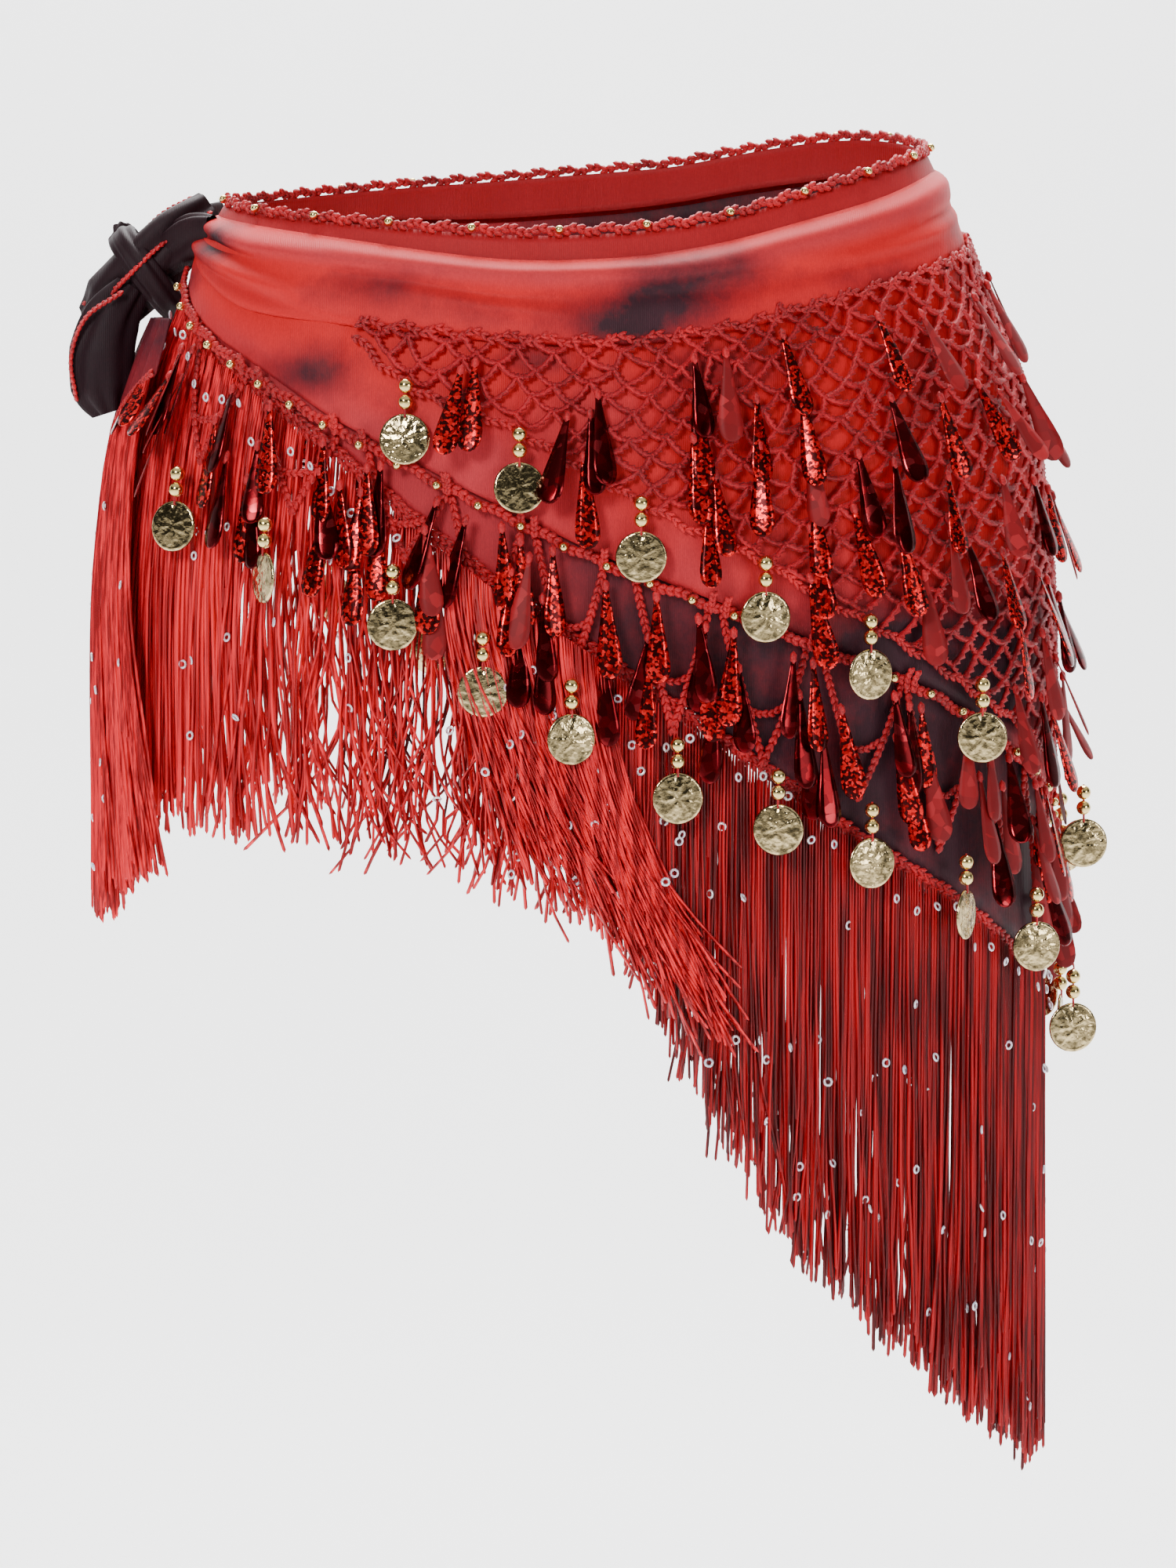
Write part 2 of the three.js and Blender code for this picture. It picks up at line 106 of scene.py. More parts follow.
def read_table(keys, values, at):
    """A smooth curve through one column of a table, read at the values of its key column."""
    keys, values = np.asarray(keys, float), np.asarray(values, float)
    at = np.clip(np.asarray(at, float), keys[0], keys[-1])
    i = np.clip(np.searchsorted(keys, at, side="left") - 1, 0, len(keys) - 2)
    before = np.maximum(np.arange(len(keys)) - 1, 0)
    after = np.minimum(np.arange(len(keys)) + 1, len(keys) - 1)
    slope = (values[after] - values[before]) / (keys[after] - keys[before])
    width = keys[i + 1] - keys[i]
    t = (at - keys[i]) / width
    ease = t * t * (3 - 2 * t)
    return (values[i] * (1 - ease) + values[i + 1] * ease
            + width * (t * (1 - t) ** 2 * slope[i] - t * t * (1 - t) * slope[i + 1]))


def bell(at, middle, width):
    """A smooth bump of height 1."""
    return np.exp(-(((at - middle) / width) ** 2))


def front_angle(angle):
    """The angle in front that a place on the back mirrors."""
    angle = np.asarray(angle, float)
    return np.where(angle <= POINT, angle,
                    POINT - (angle - POINT) * (POINT - FRONT_END) / (BACK_END - POINT))


def line(name, angle):
    """The height of one of the scarf's lines at an angle."""
    angle = np.asarray(angle, float)
    height = read_table(LINES["angle"], LINES[name], front_angle(angle))
    if name in ("rim", "fold", "band"):
        backness = np.sin(math.pi * np.clip((angle - POINT) / (BACK_END - POINT), 0, 1))
        return height + BACK_LIFT * backness
    return height


def ridge(angle, z, folds):
    """Height of soft ridges (or troughs) that run between two places on the cloth."""
    mm_per_degree = 3
    front = front_angle(angle)
    lift = np.zeros(np.broadcast(front, z).shape)
    for start, start_z, end, end_z, width, height in folds:
        along = np.array([(end - start) * mm_per_degree, end_z - start_z])
        here = (front - start) * mm_per_degree, z - start_z
        length = np.hypot(*along)
        t = (here[0] * along[0] + here[1] * along[1]) / length**2
        aside = (here[0] * along[1] - here[1] * along[0]) / length
        lift += height * np.sqrt(np.maximum(0, 1 - (2 * t - 1) ** 2)) * bell(aside, 0, width)
    return lift


def hip_point(angle, z, off):
    """Points of the hip figure at angles and heights, moved out by an offset and by the folds."""
    angle, z, off = np.broadcast_arrays(np.asarray(angle, float), z, off)
    out = off + ridge(angle, z, FOLDS)
    turn = np.radians(angle)
    side = read_table(HIP_RINGS["z"], HIP_RINGS["side"], z) + out
    depth = np.where(np.cos(turn) >= 0, read_table(HIP_RINGS["z"], HIP_RINGS["front"], z),
                     read_table(HIP_RINGS["z"], HIP_RINGS["back"], z)) + out
    radius = (np.abs(np.sin(turn) / side) ** HIP_POWER
              + np.abs(np.cos(turn) / depth) ** HIP_POWER) ** (-1 / HIP_POWER)
    return np.stack([radius * np.sin(turn), -radius * np.cos(turn), z], axis=-1)


def unit(vectors):
    return vectors / np.maximum(np.linalg.norm(vectors, axis=-1, keepdims=True), 1e-9)


def level(points):
    """Directions straight out from the scarf's upright axis."""
    return unit(points * np.array([1, 1, 0]))


def circle(count):
    """Even turns round a circle."""
    return 2 * math.pi * np.arange(count) / count


def axes_on(angle, z, off):
    """Point, direction round the hips, outward normal and direction up the cloth."""
    point = hip_point(angle, z, off)
    across = unit(hip_point(angle + 0.5, z, off) - hip_point(angle - 0.5, z, off))
    up = unit(hip_point(angle, z + 2, off) - hip_point(angle, z - 2, off))
    out = unit(np.cross(across, up))
    return point, across, out, up


ARC_ANGLES = np.linspace(-110, 290, 801)
_arc = hip_point(ARC_ANGLES, -150.0, 0.0)
ARC_LENGTHS = np.concatenate([[0], np.cumsum(np.linalg.norm(np.diff(_arc, axis=0), axis=1))])


def to_arc(angle):
    """Millimetres round the hips at an angle."""
    return np.interp(angle, ARC_ANGLES, ARC_LENGTHS)


def to_angle(arc):
    return np.interp(arc, ARC_LENGTHS, ARC_ANGLES)


def smooth_noise(count, step, reach, draw=rng):
    """A seeded smooth random curve of `count` values, with a new level about every `step` values."""
    knots = draw.uniform(-reach, reach, int(count / step) + 4)
    at = np.arange(count) / step
    i = at.astype(int)
    t = at - i
    t = t * t * (3 - 2 * t)
    return knots[i] * (1 - t) + knots[i + 1] * t


# ---- meshes

def make_mesh(name, points, faces, materials, indices=None):
    """A mesh object from millimetre points and faces of one size."""
    points, faces = np.asarray(points).reshape(-1, 3), np.asarray(faces, dtype=np.int32)
    mesh = bpy.data.meshes.new(name)
    mesh.vertices.add(len(points))
    mesh.vertices.foreach_set("co", (points * MM).astype(np.float32).ravel())
    mesh.loops.add(faces.size)
    mesh.loops.foreach_set("vertex_index", faces.ravel())
    mesh.polygons.add(len(faces))
    mesh.polygons.foreach_set("loop_start", np.arange(0, faces.size, faces.shape[1], dtype=np.int32))
    for material in materials:
        mesh.materials.append(material)
    if indices is not None:
        mesh.polygons.foreach_set("material_index", np.asarray(indices, dtype=np.int32))
    mesh.update(calc_edges=True)
    mesh.polygons.foreach_set("use_smooth", np.full(len(faces), True))
    obj = bpy.data.objects.new(name, mesh)
    bpy.context.scene.collection.objects.link(obj)
    return obj


def place(obj, slot, *nodes, body="root"):
    """The piece rides on a body and stands for CAD nodes, which it hides; its slot is not used."""
    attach(obj, body)
    if nodes:
        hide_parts(*nodes)


def piece(name, mesh, material, slot, *nodes):
    """A mesh of one material, put in its place."""
    place(make_mesh(name, *mesh, [material]), slot, *nodes)


def join(parts):
    """Several (points, faces) as one."""
    points, faces, start = [], [], 0
    for p, f in parts:
        p = np.asarray(p).reshape(-1, 3)
        points.append(p)
        faces.append(np.asarray(f) + start)
        start += len(p)
    return np.concatenate(points), np.concatenate(faces)


def grid_faces(rows, columns):
    """Quads of a grid of points, rows x columns."""
    at = np.arange(rows * columns).reshape(rows, columns)
    return np.stack([at[:-1, :-1], at[1:, :-1], at[1:, 1:], at[:-1, 1:]], axis=-1).reshape(-1, 4)


def wall_faces(rings, sides, strands=1):
    """Quads of the walls of closed tubes, each of rings x sides points."""
    at = np.arange(strands * rings * sides).reshape(strands, rings, sides)
    nxt = np.roll(at, -1, axis=2)
    return np.stack([at[:, :-1], at[:, 1:], nxt[:, 1:], nxt[:, :-1]], axis=-1).reshape(-1, 4)


def end_caps(first, last):
    """Quads that close tubes at both ends, from the point numbers round the two end rings."""
    caps = []
    for i in range(1, first.shape[-1] - 2, 2):
        caps.append(np.stack([first[..., k] for k in (0, i, i + 1, i + 2)], axis=-1))
        caps.append(np.stack([last[..., k] for k in (0, i + 2, i + 1, i)], axis=-1))
    return np.concatenate([np.atleast_2d(cap) for cap in caps])


def ring_points(paths, radius, side, lift, turn):
    """Rings of points round every step of many paths."""
    ring = np.cos(turn)[:, None] * side[:, :, None] + np.sin(turn)[:, None] * lift[:, :, None]
    return (paths[:, :, None] + radius[:, :, None, None] * ring).reshape(-1, 3)


def tubes(paths, radius, sides=4, out=(0.0, -1.0, 0.0)):
    """Closed round strands along many paths at once: paths is (strands, steps, 3)."""
    paths = np.asarray(paths, float)
    strands, steps = paths.shape[:2]
    radius = np.broadcast_to(radius, (strands, steps))
    tangent = unit(np.gradient(paths, axis=1))
    side = unit(np.cross(tangent, np.broadcast_to(out, paths.shape)) + 1e-6)
    points = ring_points(paths, radius, side, np.cross(side, tangent), circle(sides))
    at = np.arange(strands * steps * sides).reshape(strands, steps, sides)
    return points, np.concatenate([wall_faces(steps, sides, strands), end_caps(at[:, 0], at[:, -1])])


def scatter(template, faces, origin, across, out, up, scale=1.0):
    """Copies of a template, each with its own origin and axes."""
    axes = np.stack([across, out, up], axis=1)
    scale = np.broadcast_to(scale, len(origin))[:, None, None]
    points = origin[:, None] + (template[None] * scale) @ axes
    shift = (np.arange(len(origin)) * len(template))[:, None, None]
    return points.reshape(-1, 3), (faces[None] + shift).reshape(-1, faces.shape[1])


def ball(radius, rings=6, sides=8):
    """A closed ball of quads; its poles are small."""
    polar = np.linspace(0.12, math.pi - 0.12, rings)
    turn = circle(sides)
    points = np.stack([np.outer(np.sin(polar), np.cos(turn)), np.outer(np.sin(polar), np.sin(turn)),
                       np.outer(np.cos(polar), np.ones(sides))], axis=-1) * radius
    at = np.arange(rings * sides).reshape(rings, sides)
    return points.reshape(-1, 3), np.concatenate([wall_faces(rings, sides), end_caps(at[0], at[-1])])


def resample(path, step):
    """Evenly spaced points along a path, with the tangent at each."""
    path = np.asarray(path, float)
    length = np.concatenate([[0], np.cumsum(np.linalg.norm(np.diff(path, axis=0), axis=1))])
    count = max(2, int(round(length[-1] / step)) + 1)
    at = np.linspace(0, length[-1], count)
    points = np.stack([np.interp(at, length, path[:, k]) for k in range(3)], axis=-1)
    return points, unit(np.gradient(points, axis=0))


STITCH = ball(1.0, rings=4, sides=6)


def chain_stitch(path, out, width, stitch):
    """A crocheted chain along a path: two fat lobes a stitch, side by side in a V."""
    points, tangent = resample(path, stitch)
    out = np.broadcast_to(out, points.shape) if np.ndim(out) == 1 else resample_like(out, len(points))
    side = unit(np.cross(tangent, out))
    out = np.cross(side, tangent)
    parts = []
    for hand in (-1, 1):
        lean = unit(tangent + 0.5 * hand * side)
        flat = unit(np.cross(out, lean))
        template = STITCH[0] * np.array([0.31 * width, 0.33 * width, 0.70 * stitch])
        origin = points + 0.17 * width * hand * side
        parts.append(scatter(template, STITCH[1], origin, flat, out, lean))
    return join(parts)


def resample_like(vectors, count):
    """A list of vectors stretched to a new count."""
    at = np.linspace(0, len(vectors) - 1, count)
    old = np.arange(len(vectors))
    return unit(np.stack([np.interp(at, old, vectors[:, k]) for k in range(3)], axis=-1))


def line_path(name, drop, off, start, end, step=1.0, wave=0.0, pitch=9.0):
    """A path along one of the scarf's lines, with its outward normals; it may be wavy."""
    angle = np.arange(start, end + 0.01, step)
    z = line(name, angle) - drop + wave * np.sin(2 * math.pi * to_arc(angle) / pitch)
    point, _, out, _ = axes_on(angle, z, off)
    return point, out


# ---- materials

class Nodes:
    """A small helper to lay out a material's nodes."""

    def __init__(self, name):
        self.material = bpy.data.materials.new(name)
        self.material.use_nodes = True
        self.tree = self.material.node_tree
        self.shader = self.tree.nodes["Principled BSDF"]

    def add(self, kind, **settings):
        node = self.tree.nodes.new(kind)
        for key, value in settings.items():
            setattr(node, key, value)
        return node

    def link(self, source, target):
        self.tree.links.new(source, target)

    def set(self, **values):
        for key, value in values.items():
            self.shader.inputs[key.replace("_", " ")].default_value = value

    def place_in(self, scale):
        """Object coordinates, stretched."""
        coords = self.add("ShaderNodeTexCoord")
        mapping = self.add("ShaderNodeMapping")
        mapping.inputs["Scale"].default_value = scale
        self.link(coords.outputs["Object"], mapping.inputs["Vector"])
        return mapping.outputs["Vector"]

    def texture(self, kind, stretch=(1, 1, 1), inputs=(), **settings):
        """A texture in object coordinates, with its inputs and settings."""
        node = self.add(kind, **settings)
        for key, value in inputs:
            node.inputs[key].default_value = value
        self.link(self.place_in(stretch), node.inputs["Vector"])
        return node

    def noise(self, scale, detail=3.0, stretch=(1, 1, 1), rough=0.55):
        inputs = (("Scale", scale), ("Detail", detail), ("Roughness", rough))
        return self.texture("ShaderNodeTexNoise", stretch, inputs).outputs["Fac"]

    def ramp(self, source, stops):
        node = self.add("ShaderNodeValToRGB")
        elements = node.color_ramp.elements
        while len(elements) < len(stops):
            elements.new(0.5)
        for element, (position, color) in zip(elements, stops):
            element.position = position
            element.color = (*color, 1)
        self.link(source, node.inputs["Fac"])
        return node.outputs["Color"]

    def math(self, operation, a, b=None):
        node = self.add("ShaderNodeMath", operation=operation)
        for socket, value in zip(node.inputs, (a, b)):
            if value is None:
                continue
            if isinstance(value, (int, float)):
                socket.default_value = value
            else:
                self.link(value, socket)
        return node.outputs[0]

    def mix(self, factor, a, b, blend="MIX"):
        node = self.add("ShaderNodeMix", data_type="RGBA", blend_type=blend)
        for socket, value in ((node.inputs[0], factor), (node.inputs[6], a), (node.inputs[7], b)):
            if isinstance(value, (int, float)):
                socket.default_value = value
            elif isinstance(value, tuple):
                socket.default_value = (*value, 1)
            else:
                self.link(value, socket)
        return node.outputs[2]

    def bump(self, height, strength, distance):
        node = self.add("ShaderNodeBump")
        node.inputs["Strength"].default_value = strength
        node.inputs["Distance"].default_value = distance
        self.link(height, node.inputs["Height"])
        self.link(node.outputs["Normal"], self.shader.inputs["Normal"])

    def attribute(self, name):
        return self.add("ShaderNodeAttribute", attribute_name=name).outputs["Fac"]

    def color(self, source):
        self.link(source, self.shader.inputs["Base Color"])


RED = (0.56, 0.008, 0.011)
# the second chiffon colour: rosy dye on most pieces, and the pink of the painted highlight along the waist
# band's rolled fold
ROSE_AND_HIGHLIGHT = (0.44, 0.030, 0.040)
PLUM = (0.060, 0.014, 0.024)
NIGHT = (0.008, 0.004, 0.007)


def chiffon(name, base, second, pool=PLUM):
    """Tie-dyed chiffon: a base colour, a second one laid by the rosy mask where the dye ran and, on the
    waist band, as a painted highlight along the rolled fold, and plum where it pooled.
    """
    n = Nodes(name)
    soft = n.noise(28, detail=4, rough=0.6)
    cloud = n.noise(26, detail=6, rough=0.7)
    # the rosy mask mixes in the second colour: rosy dye on most pieces, a painted highlight along the waist
    # band's rolled fold
    plain = n.mix(n.math("MULTIPLY", n.attribute("rose_and_highlight"), n.math("ADD", soft, 0.5)), base, second)
    pooled = n.math("ADD", n.attribute("dye"), n.math("MULTIPLY", n.math("SUBTRACT", cloud, 0.5), 1.1))
    edge = n.ramp(pooled, [(0.22, (0, 0, 0)), (0.95, (1, 1, 1))])
    dark = n.mix(soft, pool, NIGHT)
    tone = n.mix(edge, plain, dark)
    flecks = n.ramp(n.noise(900, detail=2), [(0.35, (0.25, 0.02, 0.03)), (0.65, (0.85, 0.3, 0.3))])
    n.color(n.mix(0.16, tone, flecks, "SOFT_LIGHT"))
    weave = n.texture("ShaderNodeTexWave", (1, 1, 1.3), (("Scale", 420), ("Distortion", 1.5)))
    crinkle = n.noise(95, detail=4, stretch=(1, 1, 0.45))
    n.bump(n.math("ADD", n.math("MULTIPLY", weave.outputs["Fac"], 0.18), crinkle), 0.35, 0.0009)
    n.set(Roughness=0.55, Specular_IOR_Level=0.18)
    return n.material


def yarn(name, dark, light, fuzz=1400):
    """Crocheted or twisted yarn with a fine fuzzy grain."""
    n = Nodes(name)
    grain = n.noise(fuzz, detail=3)
    drift = n.noise(60, detail=2)
    tone = n.ramp(n.math("ADD", n.math("MULTIPLY", grain, 0.6), n.math("MULTIPLY", drift, 0.4)),
                  [(0.36, dark), (0.64, light)])
    n.color(tone)
    n.bump(grain, 0.6, 0.0004)
    n.set(Roughness=0.5, Sheen_Weight=0.04, Sheen_Roughness=0.5, Specular_IOR_Level=0.35)
    return n.material


def thread_finish(name, dark, light):
    """Shiny fringe thread: fine streaks along its length, a little different from thread to thread; their
    wide spread from dark to light is partly painted highlight and painted shade between threads.
    """
    n = Nodes(name)
    streak_and_sheen = n.noise(1.0, detail=3, stretch=(420, 420, 14))
    # painted highlight and shade: light streaks stand partly for the threads' shine and dark ones for shade
    # in the gaps between threads, besides real thread-to-thread tone
    tone = n.ramp(streak_and_sheen, [(0.42, dark), (0.60, light)])
    n.color(tone)
    twist = n.texture("ShaderNodeTexWave", inputs=(("Scale", 520),), bands_direction="Z")
    n.bump(twist.outputs["Fac"], 0.3, 0.0002)
    n.set(Roughness=0.38, Specular_IOR_Level=0.3)
    return n.material


def gold_finish(name, base, roughness, marks, grain):
    """Pale gold: polished, or stamped with dark in its hollows and fine scratches."""
    n = Nodes(name)
    scratch = n.noise(260, detail=4)
    tone = n.ramp(scratch, [(0.34, tuple(c * (1 - marks) for c in base)), (0.58, base)])
    n.color(tone)
    n.bump(n.noise(grain, detail=2), 0.12 + marks, 0.0004)
    rough = n.ramp(scratch, [(0.3, (roughness + 0.12,) * 3), (0.7, (roughness,) * 3)])
    n.link(rough, n.shader.inputs["Roughness"])
    n.set(Metallic=1.0)
    return n.material


def paillette_finish(name, dark, light, cell, metallic, roughness, tilt):
    """A paillette's plastic: flakes of cell size, each tilted its own way where it glitters; the lighter
    flakes, strongest on glitter, are painted glints, sparkle painted into the base colour.
    """
    n = Nodes(name)
    flakes = n.texture("ShaderNodeTexVoronoi", inputs=(("Scale", cell),))
    shade = n.add("ShaderNodeSeparateColor")
    n.link(flakes.outputs["Color"], shade.inputs["Color"])
    # painted glints: flakes high on the ramp are painted light and the highest brighter still, as sparkle;
    # the tilted bump gives real glints besides
    bright = tuple(min(1, c * 1.5 + 0.012) for c in light)
    n.color(n.ramp(shade.outputs[0], [(0.42, dark), (0.80, light), (1.0, bright)]))
    n.bump(shade.outputs[1], tilt, 0.0006)
    n.set(Metallic=metallic, Roughness=roughness, Specular_IOR_Level=0.25)
    return n.material


def clear_ring_finish():
    """Clear plastic with a faint blue and pink shimmer."""
    n = Nodes("ring_sequin")
    tints = [(0.35, (0.75, 0.78, 0.95)), (0.5, (0.95, 0.9, 0.92)), (0.65, (0.9, 0.7, 0.85))]
    n.color(n.ramp(n.noise(240, detail=1), tints))
    n.bump(n.noise(900), 0.2, 0.0002)
    n.set(Metallic=0.35, Roughness=0.12, Coat_Weight=1.0)
    return n.material


CHIFFON_RED = chiffon("chiffon_red", RED, ROSE_AND_HIGHLIGHT)
CHIFFON_ROSE = chiffon("chiffon_rose", (0.34, 0.008, 0.012), ROSE_AND_HIGHLIGHT)
CHIFFON_PLUM = chiffon("chiffon_plum", (0.30, 0.016, 0.024), ROSE_AND_HIGHLIGHT)
CHIFFON_NIGHT = chiffon("chiffon_night", (0.30, 0.016, 0.024), ROSE_AND_HIGHLIGHT, pool=(0.022, 0.005, 0.008))
CROCHET = yarn("crochet", (0.14, 0.0010, 0.003), (0.64, 0.005, 0.014))
NET_YARN = yarn("net_yarn", (0.14, 0.0010, 0.004), (0.60, 0.005, 0.015))
# the light colours are partly the threads' red, partly painted highlight
FRINGE_RED = thread_finish("fringe_red", (0.30, 0.003, 0.006), (0.95, 0.020, 0.034))
FRINGE_DEEP = thread_finish("fringe_deep", (0.08, 0.0005, 0.0015), (0.46, 0.004, 0.009))
COIN_GOLD = gold_finish("coin_gold", (0.78, 0.60, 0.30), 0.08, 0.80, 380)
BEAD_GOLD = gold_finish("bead_gold", (0.92, 0.70, 0.28), 0.07, 0.05, 700)
# the glitter's light colour is partly the flakes' red, partly painted sparkle
GLITTER = paillette_finish("paillette_glitter", (0.035, 0.0005, 0.001), (0.74, 0.008, 0.010),
                           cell=900, metallic=0.75, roughness=0.26, tilt=0.8)
GARNET = paillette_finish("paillette_garnet", (0.05, 0.0004, 0.0015), (0.13, 0.001, 0.004),
                          cell=300, metallic=0.85, roughness=0.16, tilt=0.12)
SATIN = paillette_finish("paillette_satin", (0.16, 0.0010, 0.0030), (0.24, 0.002, 0.005),
                         cell=220, metallic=0.0, roughness=0.55, tilt=0.06)
RING = clear_ring_finish()


# ---- cloth

WALL = 0.7  # thickness of a cloth shell, in millimetres


def blots(angle, z, table):
    """Soft patches of dye: each row has an angle, height, reach round the hips, reach down, strength."""
    front = front_angle(angle)
    total = np.zeros(np.broadcast(front, z).shape)
    for at, height, round_mm, down_mm, strength in table:
        here = ((front - at) * 3 / round_mm) ** 2 + ((z - height) / down_mm) ** 2
        total += strength * np.exp(-here)
    return total


def paint(obj, shape, dye, rose_and_highlight):
    """Keeps how dark the dye is and how rosy the cloth is at each point, for the material; on the waist band
    the rosy mask is a painted highlight along the rolled fold.
    """
    for key, value in (("dye", dye), ("rose_and_highlight", rose_and_highlight)):
        layer = obj.data.attributes.new(key, "FLOAT", "POINT")
        layer.data.foreach_set("value", np.broadcast_to(value, shape).ravel().astype(np.float32))


def cloth(name, angle, z, off, material, dye, rose_and_highlight):
    """A thin cloth shell through a grid of angles, heights and offsets, coloured by two masks."""
    rows, columns = angle.shape
    obj = make_mesh(name, hip_point(angle, z, off), grid_faces(rows, columns), [material])
    paint(obj, angle.shape, np.clip(dye, 0, 1), np.clip(rose_and_highlight, 0, 1))
    wall = obj.modifiers.new("wall", "SOLIDIFY")
    wall.thickness = WALL * MM
    wall.offset = 0
    return obj


def stretch_of(start, end, top, low, columns, rows):
    """A grid of angles and heights between a top and a low line, and how far down each place is."""
    angle = np.linspace(start, end, columns)[None, :]
    down = np.linspace(0, 1, rows)[:, None]
    z = top(angle) * (1 - down) + low(angle) * down
    return np.broadcast_to(angle, z.shape), z, np.broadcast_to(down, z.shape)


def flat_size(start, end, top, low):
    """Width, greatest depth and area of a piece laid flat, in metres."""
    angle = np.linspace(start, end, 400)
    depth = top(angle) - low(angle)
    arc = to_arc(angle)
    area = np.sum((depth[1:] + depth[:-1]) / 2 * np.diff(arc))
    size = round((arc[-1] - arc[0]) * MM, 3), round(float(depth.max()) * MM, 3)
    return size, round(float(area) * 1e-6, 4)


PANEL_CREASES = (  # angle, z, end angle, end z, half width, height
    (-80, -36, -50, -80, 5, 1.6),
    (-76, -42, -44, -96, 4, -1.4),
    (-66, -50, -30, -100, 5, 1.5),
    (-52, -66, -20, -122, 5, -1.3),
    (-30, -76, -6, -140, 6, 1.5),
    (-14, -78, 6, -150, 5, -1.4),
    (8, -76, 22, -160, 6, 1.6),
    (20, -74, 34, -176, 5, -1.5),
    (36, -70, 46, -186, 6, 1.7),
    (52, -60, 58, -206, 6, -1.6),
    (66, -56, 70, -226, 7, 1.6),
    (80, -50, 82, -250, 6, -1.5),
)
BAND_CREASES = (
    (-84, -24, -58, -38, 2.2, -2.4),
    (-84, -28, -50, -50, 2.6, 2.4),
    (-84, -30, -44, -62, 2.0, -1.8),
    (-74, -26, -34, -42, 2.4, 1.7),
    (-60, -34, -14, -52, 3.2, -1.5),
    (-40, -46, 0, -60, 3.4, 1.3),
    (-12, -46, 34, -50, 3.6, -1.4),
    (10, -44, 52, -34, 3.2, 1.5),
    (30, -50, 70, -30, 3.0, -1.4),
    (50, -36, 88, -16, 2.8, 1.5),
    (66, -22, 97, -10, 2.4, -1.3),
)
BAND_DYE = (  # angle, z, reach round, reach down, strength
    (17, -50, 40, 17, 0.95), (6, -62, 40, 11, 0.7), (-38, -47, 40, 9, 0.7), (-20, -56, 34, 8, 0.45),
    (54, -44, 44, 8, 0.5), (-72, -30, 22, 8, 1.0), (78, -26, 22, 12, 0.5), (30, -40, 26, 10, 0.5),
)
UPPER_DYE = (
    (-47, -80, 26, 11, 0.85), (-30, -92, 20, 8, 0.4), (-76, -44, 14, 8, 0.7), (-8, -76, 30, 7, 0.6),
    (26, -78, 40, 14, 0.7), (46, -190, 60, 26, 0.95), (66, -206, 40, 40, 0.8), (62, -90, 30, 30, 0.5),
    (86, -170, 40, 70, 0.6), (10, -128, 30, 10, 0.25),
)
UPPER_ROSE = ((-20, -110, 50, 14, 0.6), (6, -96, 50, 16, 0.5))


def band_form(angle, z, down):
    """Rolled over at the top, gathered towards the knot and lightly rippled; its rosy mask is a painted
    highlight along the roll's crest, partly the sheer double layer there.
    """
    arc = to_arc(angle)
    facing = np.abs(np.cos(np.radians(angle))) ** 0.7
    roll = facing * (2.6 * bell(down, 0.17, 0.16) - 1.2 * bell(down, 0.45, 0.12))
    tuck = -5.2 * bell(down, 0, 0.07) - 1.8 * bell(down, 1, 0.06) - 2.5 * (1 - facing)
    ripple = 0.5 * np.sin(arc / 13 + 2.2 * np.sin(arc / 61)) * np.sin(math.pi * down)
    off = OFF["band"] + roll + tuck + ripple + ridge(angle, z, BAND_CREASES)
    # painted highlight: the third mask turns the cloth pink along the crest of the rolled top (down 0.2),
    # standing for shine on the fold's curve and partly for the sheer double layer; a weaker rosy band lies
    # near the lower edge
    return off, blots(angle, z, BAND_DYE), 0.85 * bell(down, 0.2, 0.13) + 0.25 * bell(down, 0.8, 0.2)


def strip_form(angle, z, down):
    """Nearly smooth, leaning out to meet the fold."""
    return OFF["strip"] + 0.4 * np.sin(to_arc(angle) / 7) * down + 2.4 * down, 0 * z, 0.2


def upper_form(angle, z, down):
    """Creased from the knot, and wavy towards its hem."""
    arc = to_arc(angle)
    wave = 0.8 * down**2 * np.sin(arc / 9.5 + 1.7 * np.sin(arc / 47))
    off = OFF["upper"] + 0.5 * ridge(angle, z, PANEL_CREASES) + wave
    return off, blots(angle, z, UPPER_DYE), 0.75 * bell(down, 0.95, 0.22) + blots(angle, z, UPPER_ROSE)


def under_form(angle, z, down):
    """Creased like the upper panel, and dyed plum from the front round the hip."""
    arc = to_arc(angle)
    wave = 0.7 * down**2 * np.sin(arc / 12 + 1.3 * np.sin(arc / 53))
    off = OFF["under"] + 0.45 * ridge(angle, z, PANEL_CREASES) + wave - 0.4
    dark = 0.85 * np.clip((front_angle(angle) + 24) / 30, 0, 1) + 0.1 * np.clip((-z - 180) / 100, 0, 1)
    return off, dark, 0.5 * (1 - dark)


def along(name, drop=0):
    """One of the scarf's lines, lowered a little, as a function of the angle."""
    return lambda angle: line(name, angle) - drop


def hip_sheet(name, slot, node, edges, grid, material, form):
    """A sheet all round the hips; its form gives its offset, its dye mask and its rosy mask at each place;
    on the waist band the rosy mask is a painted highlight.
    """
    angle, z, down = stretch_of(FRONT_END, BACK_END, *edges, *grid)
    off, dye, rose_and_highlight = form(angle, z, down)
    obj = cloth(name, angle, z, off, material, dye, rose_and_highlight)
    place(obj, slot, node)
    flat, area = flat_size(FRONT_END, BACK_END, *edges)


hip_sheet("waist_band_cloth", "red_chiffon", "waist_band", (along("fold"), along("band")), (340, 28),
          CHIFFON_RED, band_form)
hip_sheet("inner_strip_cloth", "rose_chiffon", "inner_strip", (along("rim", 1), along("fold", 6)), (260, 6),
          CHIFFON_ROSE, strip_form)
hip_sheet("upper_panel_cloth", "red_chiffon", "upper_panel", (along("fold", 8), along("upper")), (270, 36),
          CHIFFON_RED, upper_form)
hip_sheet("under_panel_cloth", "plum_chiffon", "under_panel", (along("fold", 8), along("under")), (270, 36),
          CHIFFON_PLUM, under_form)


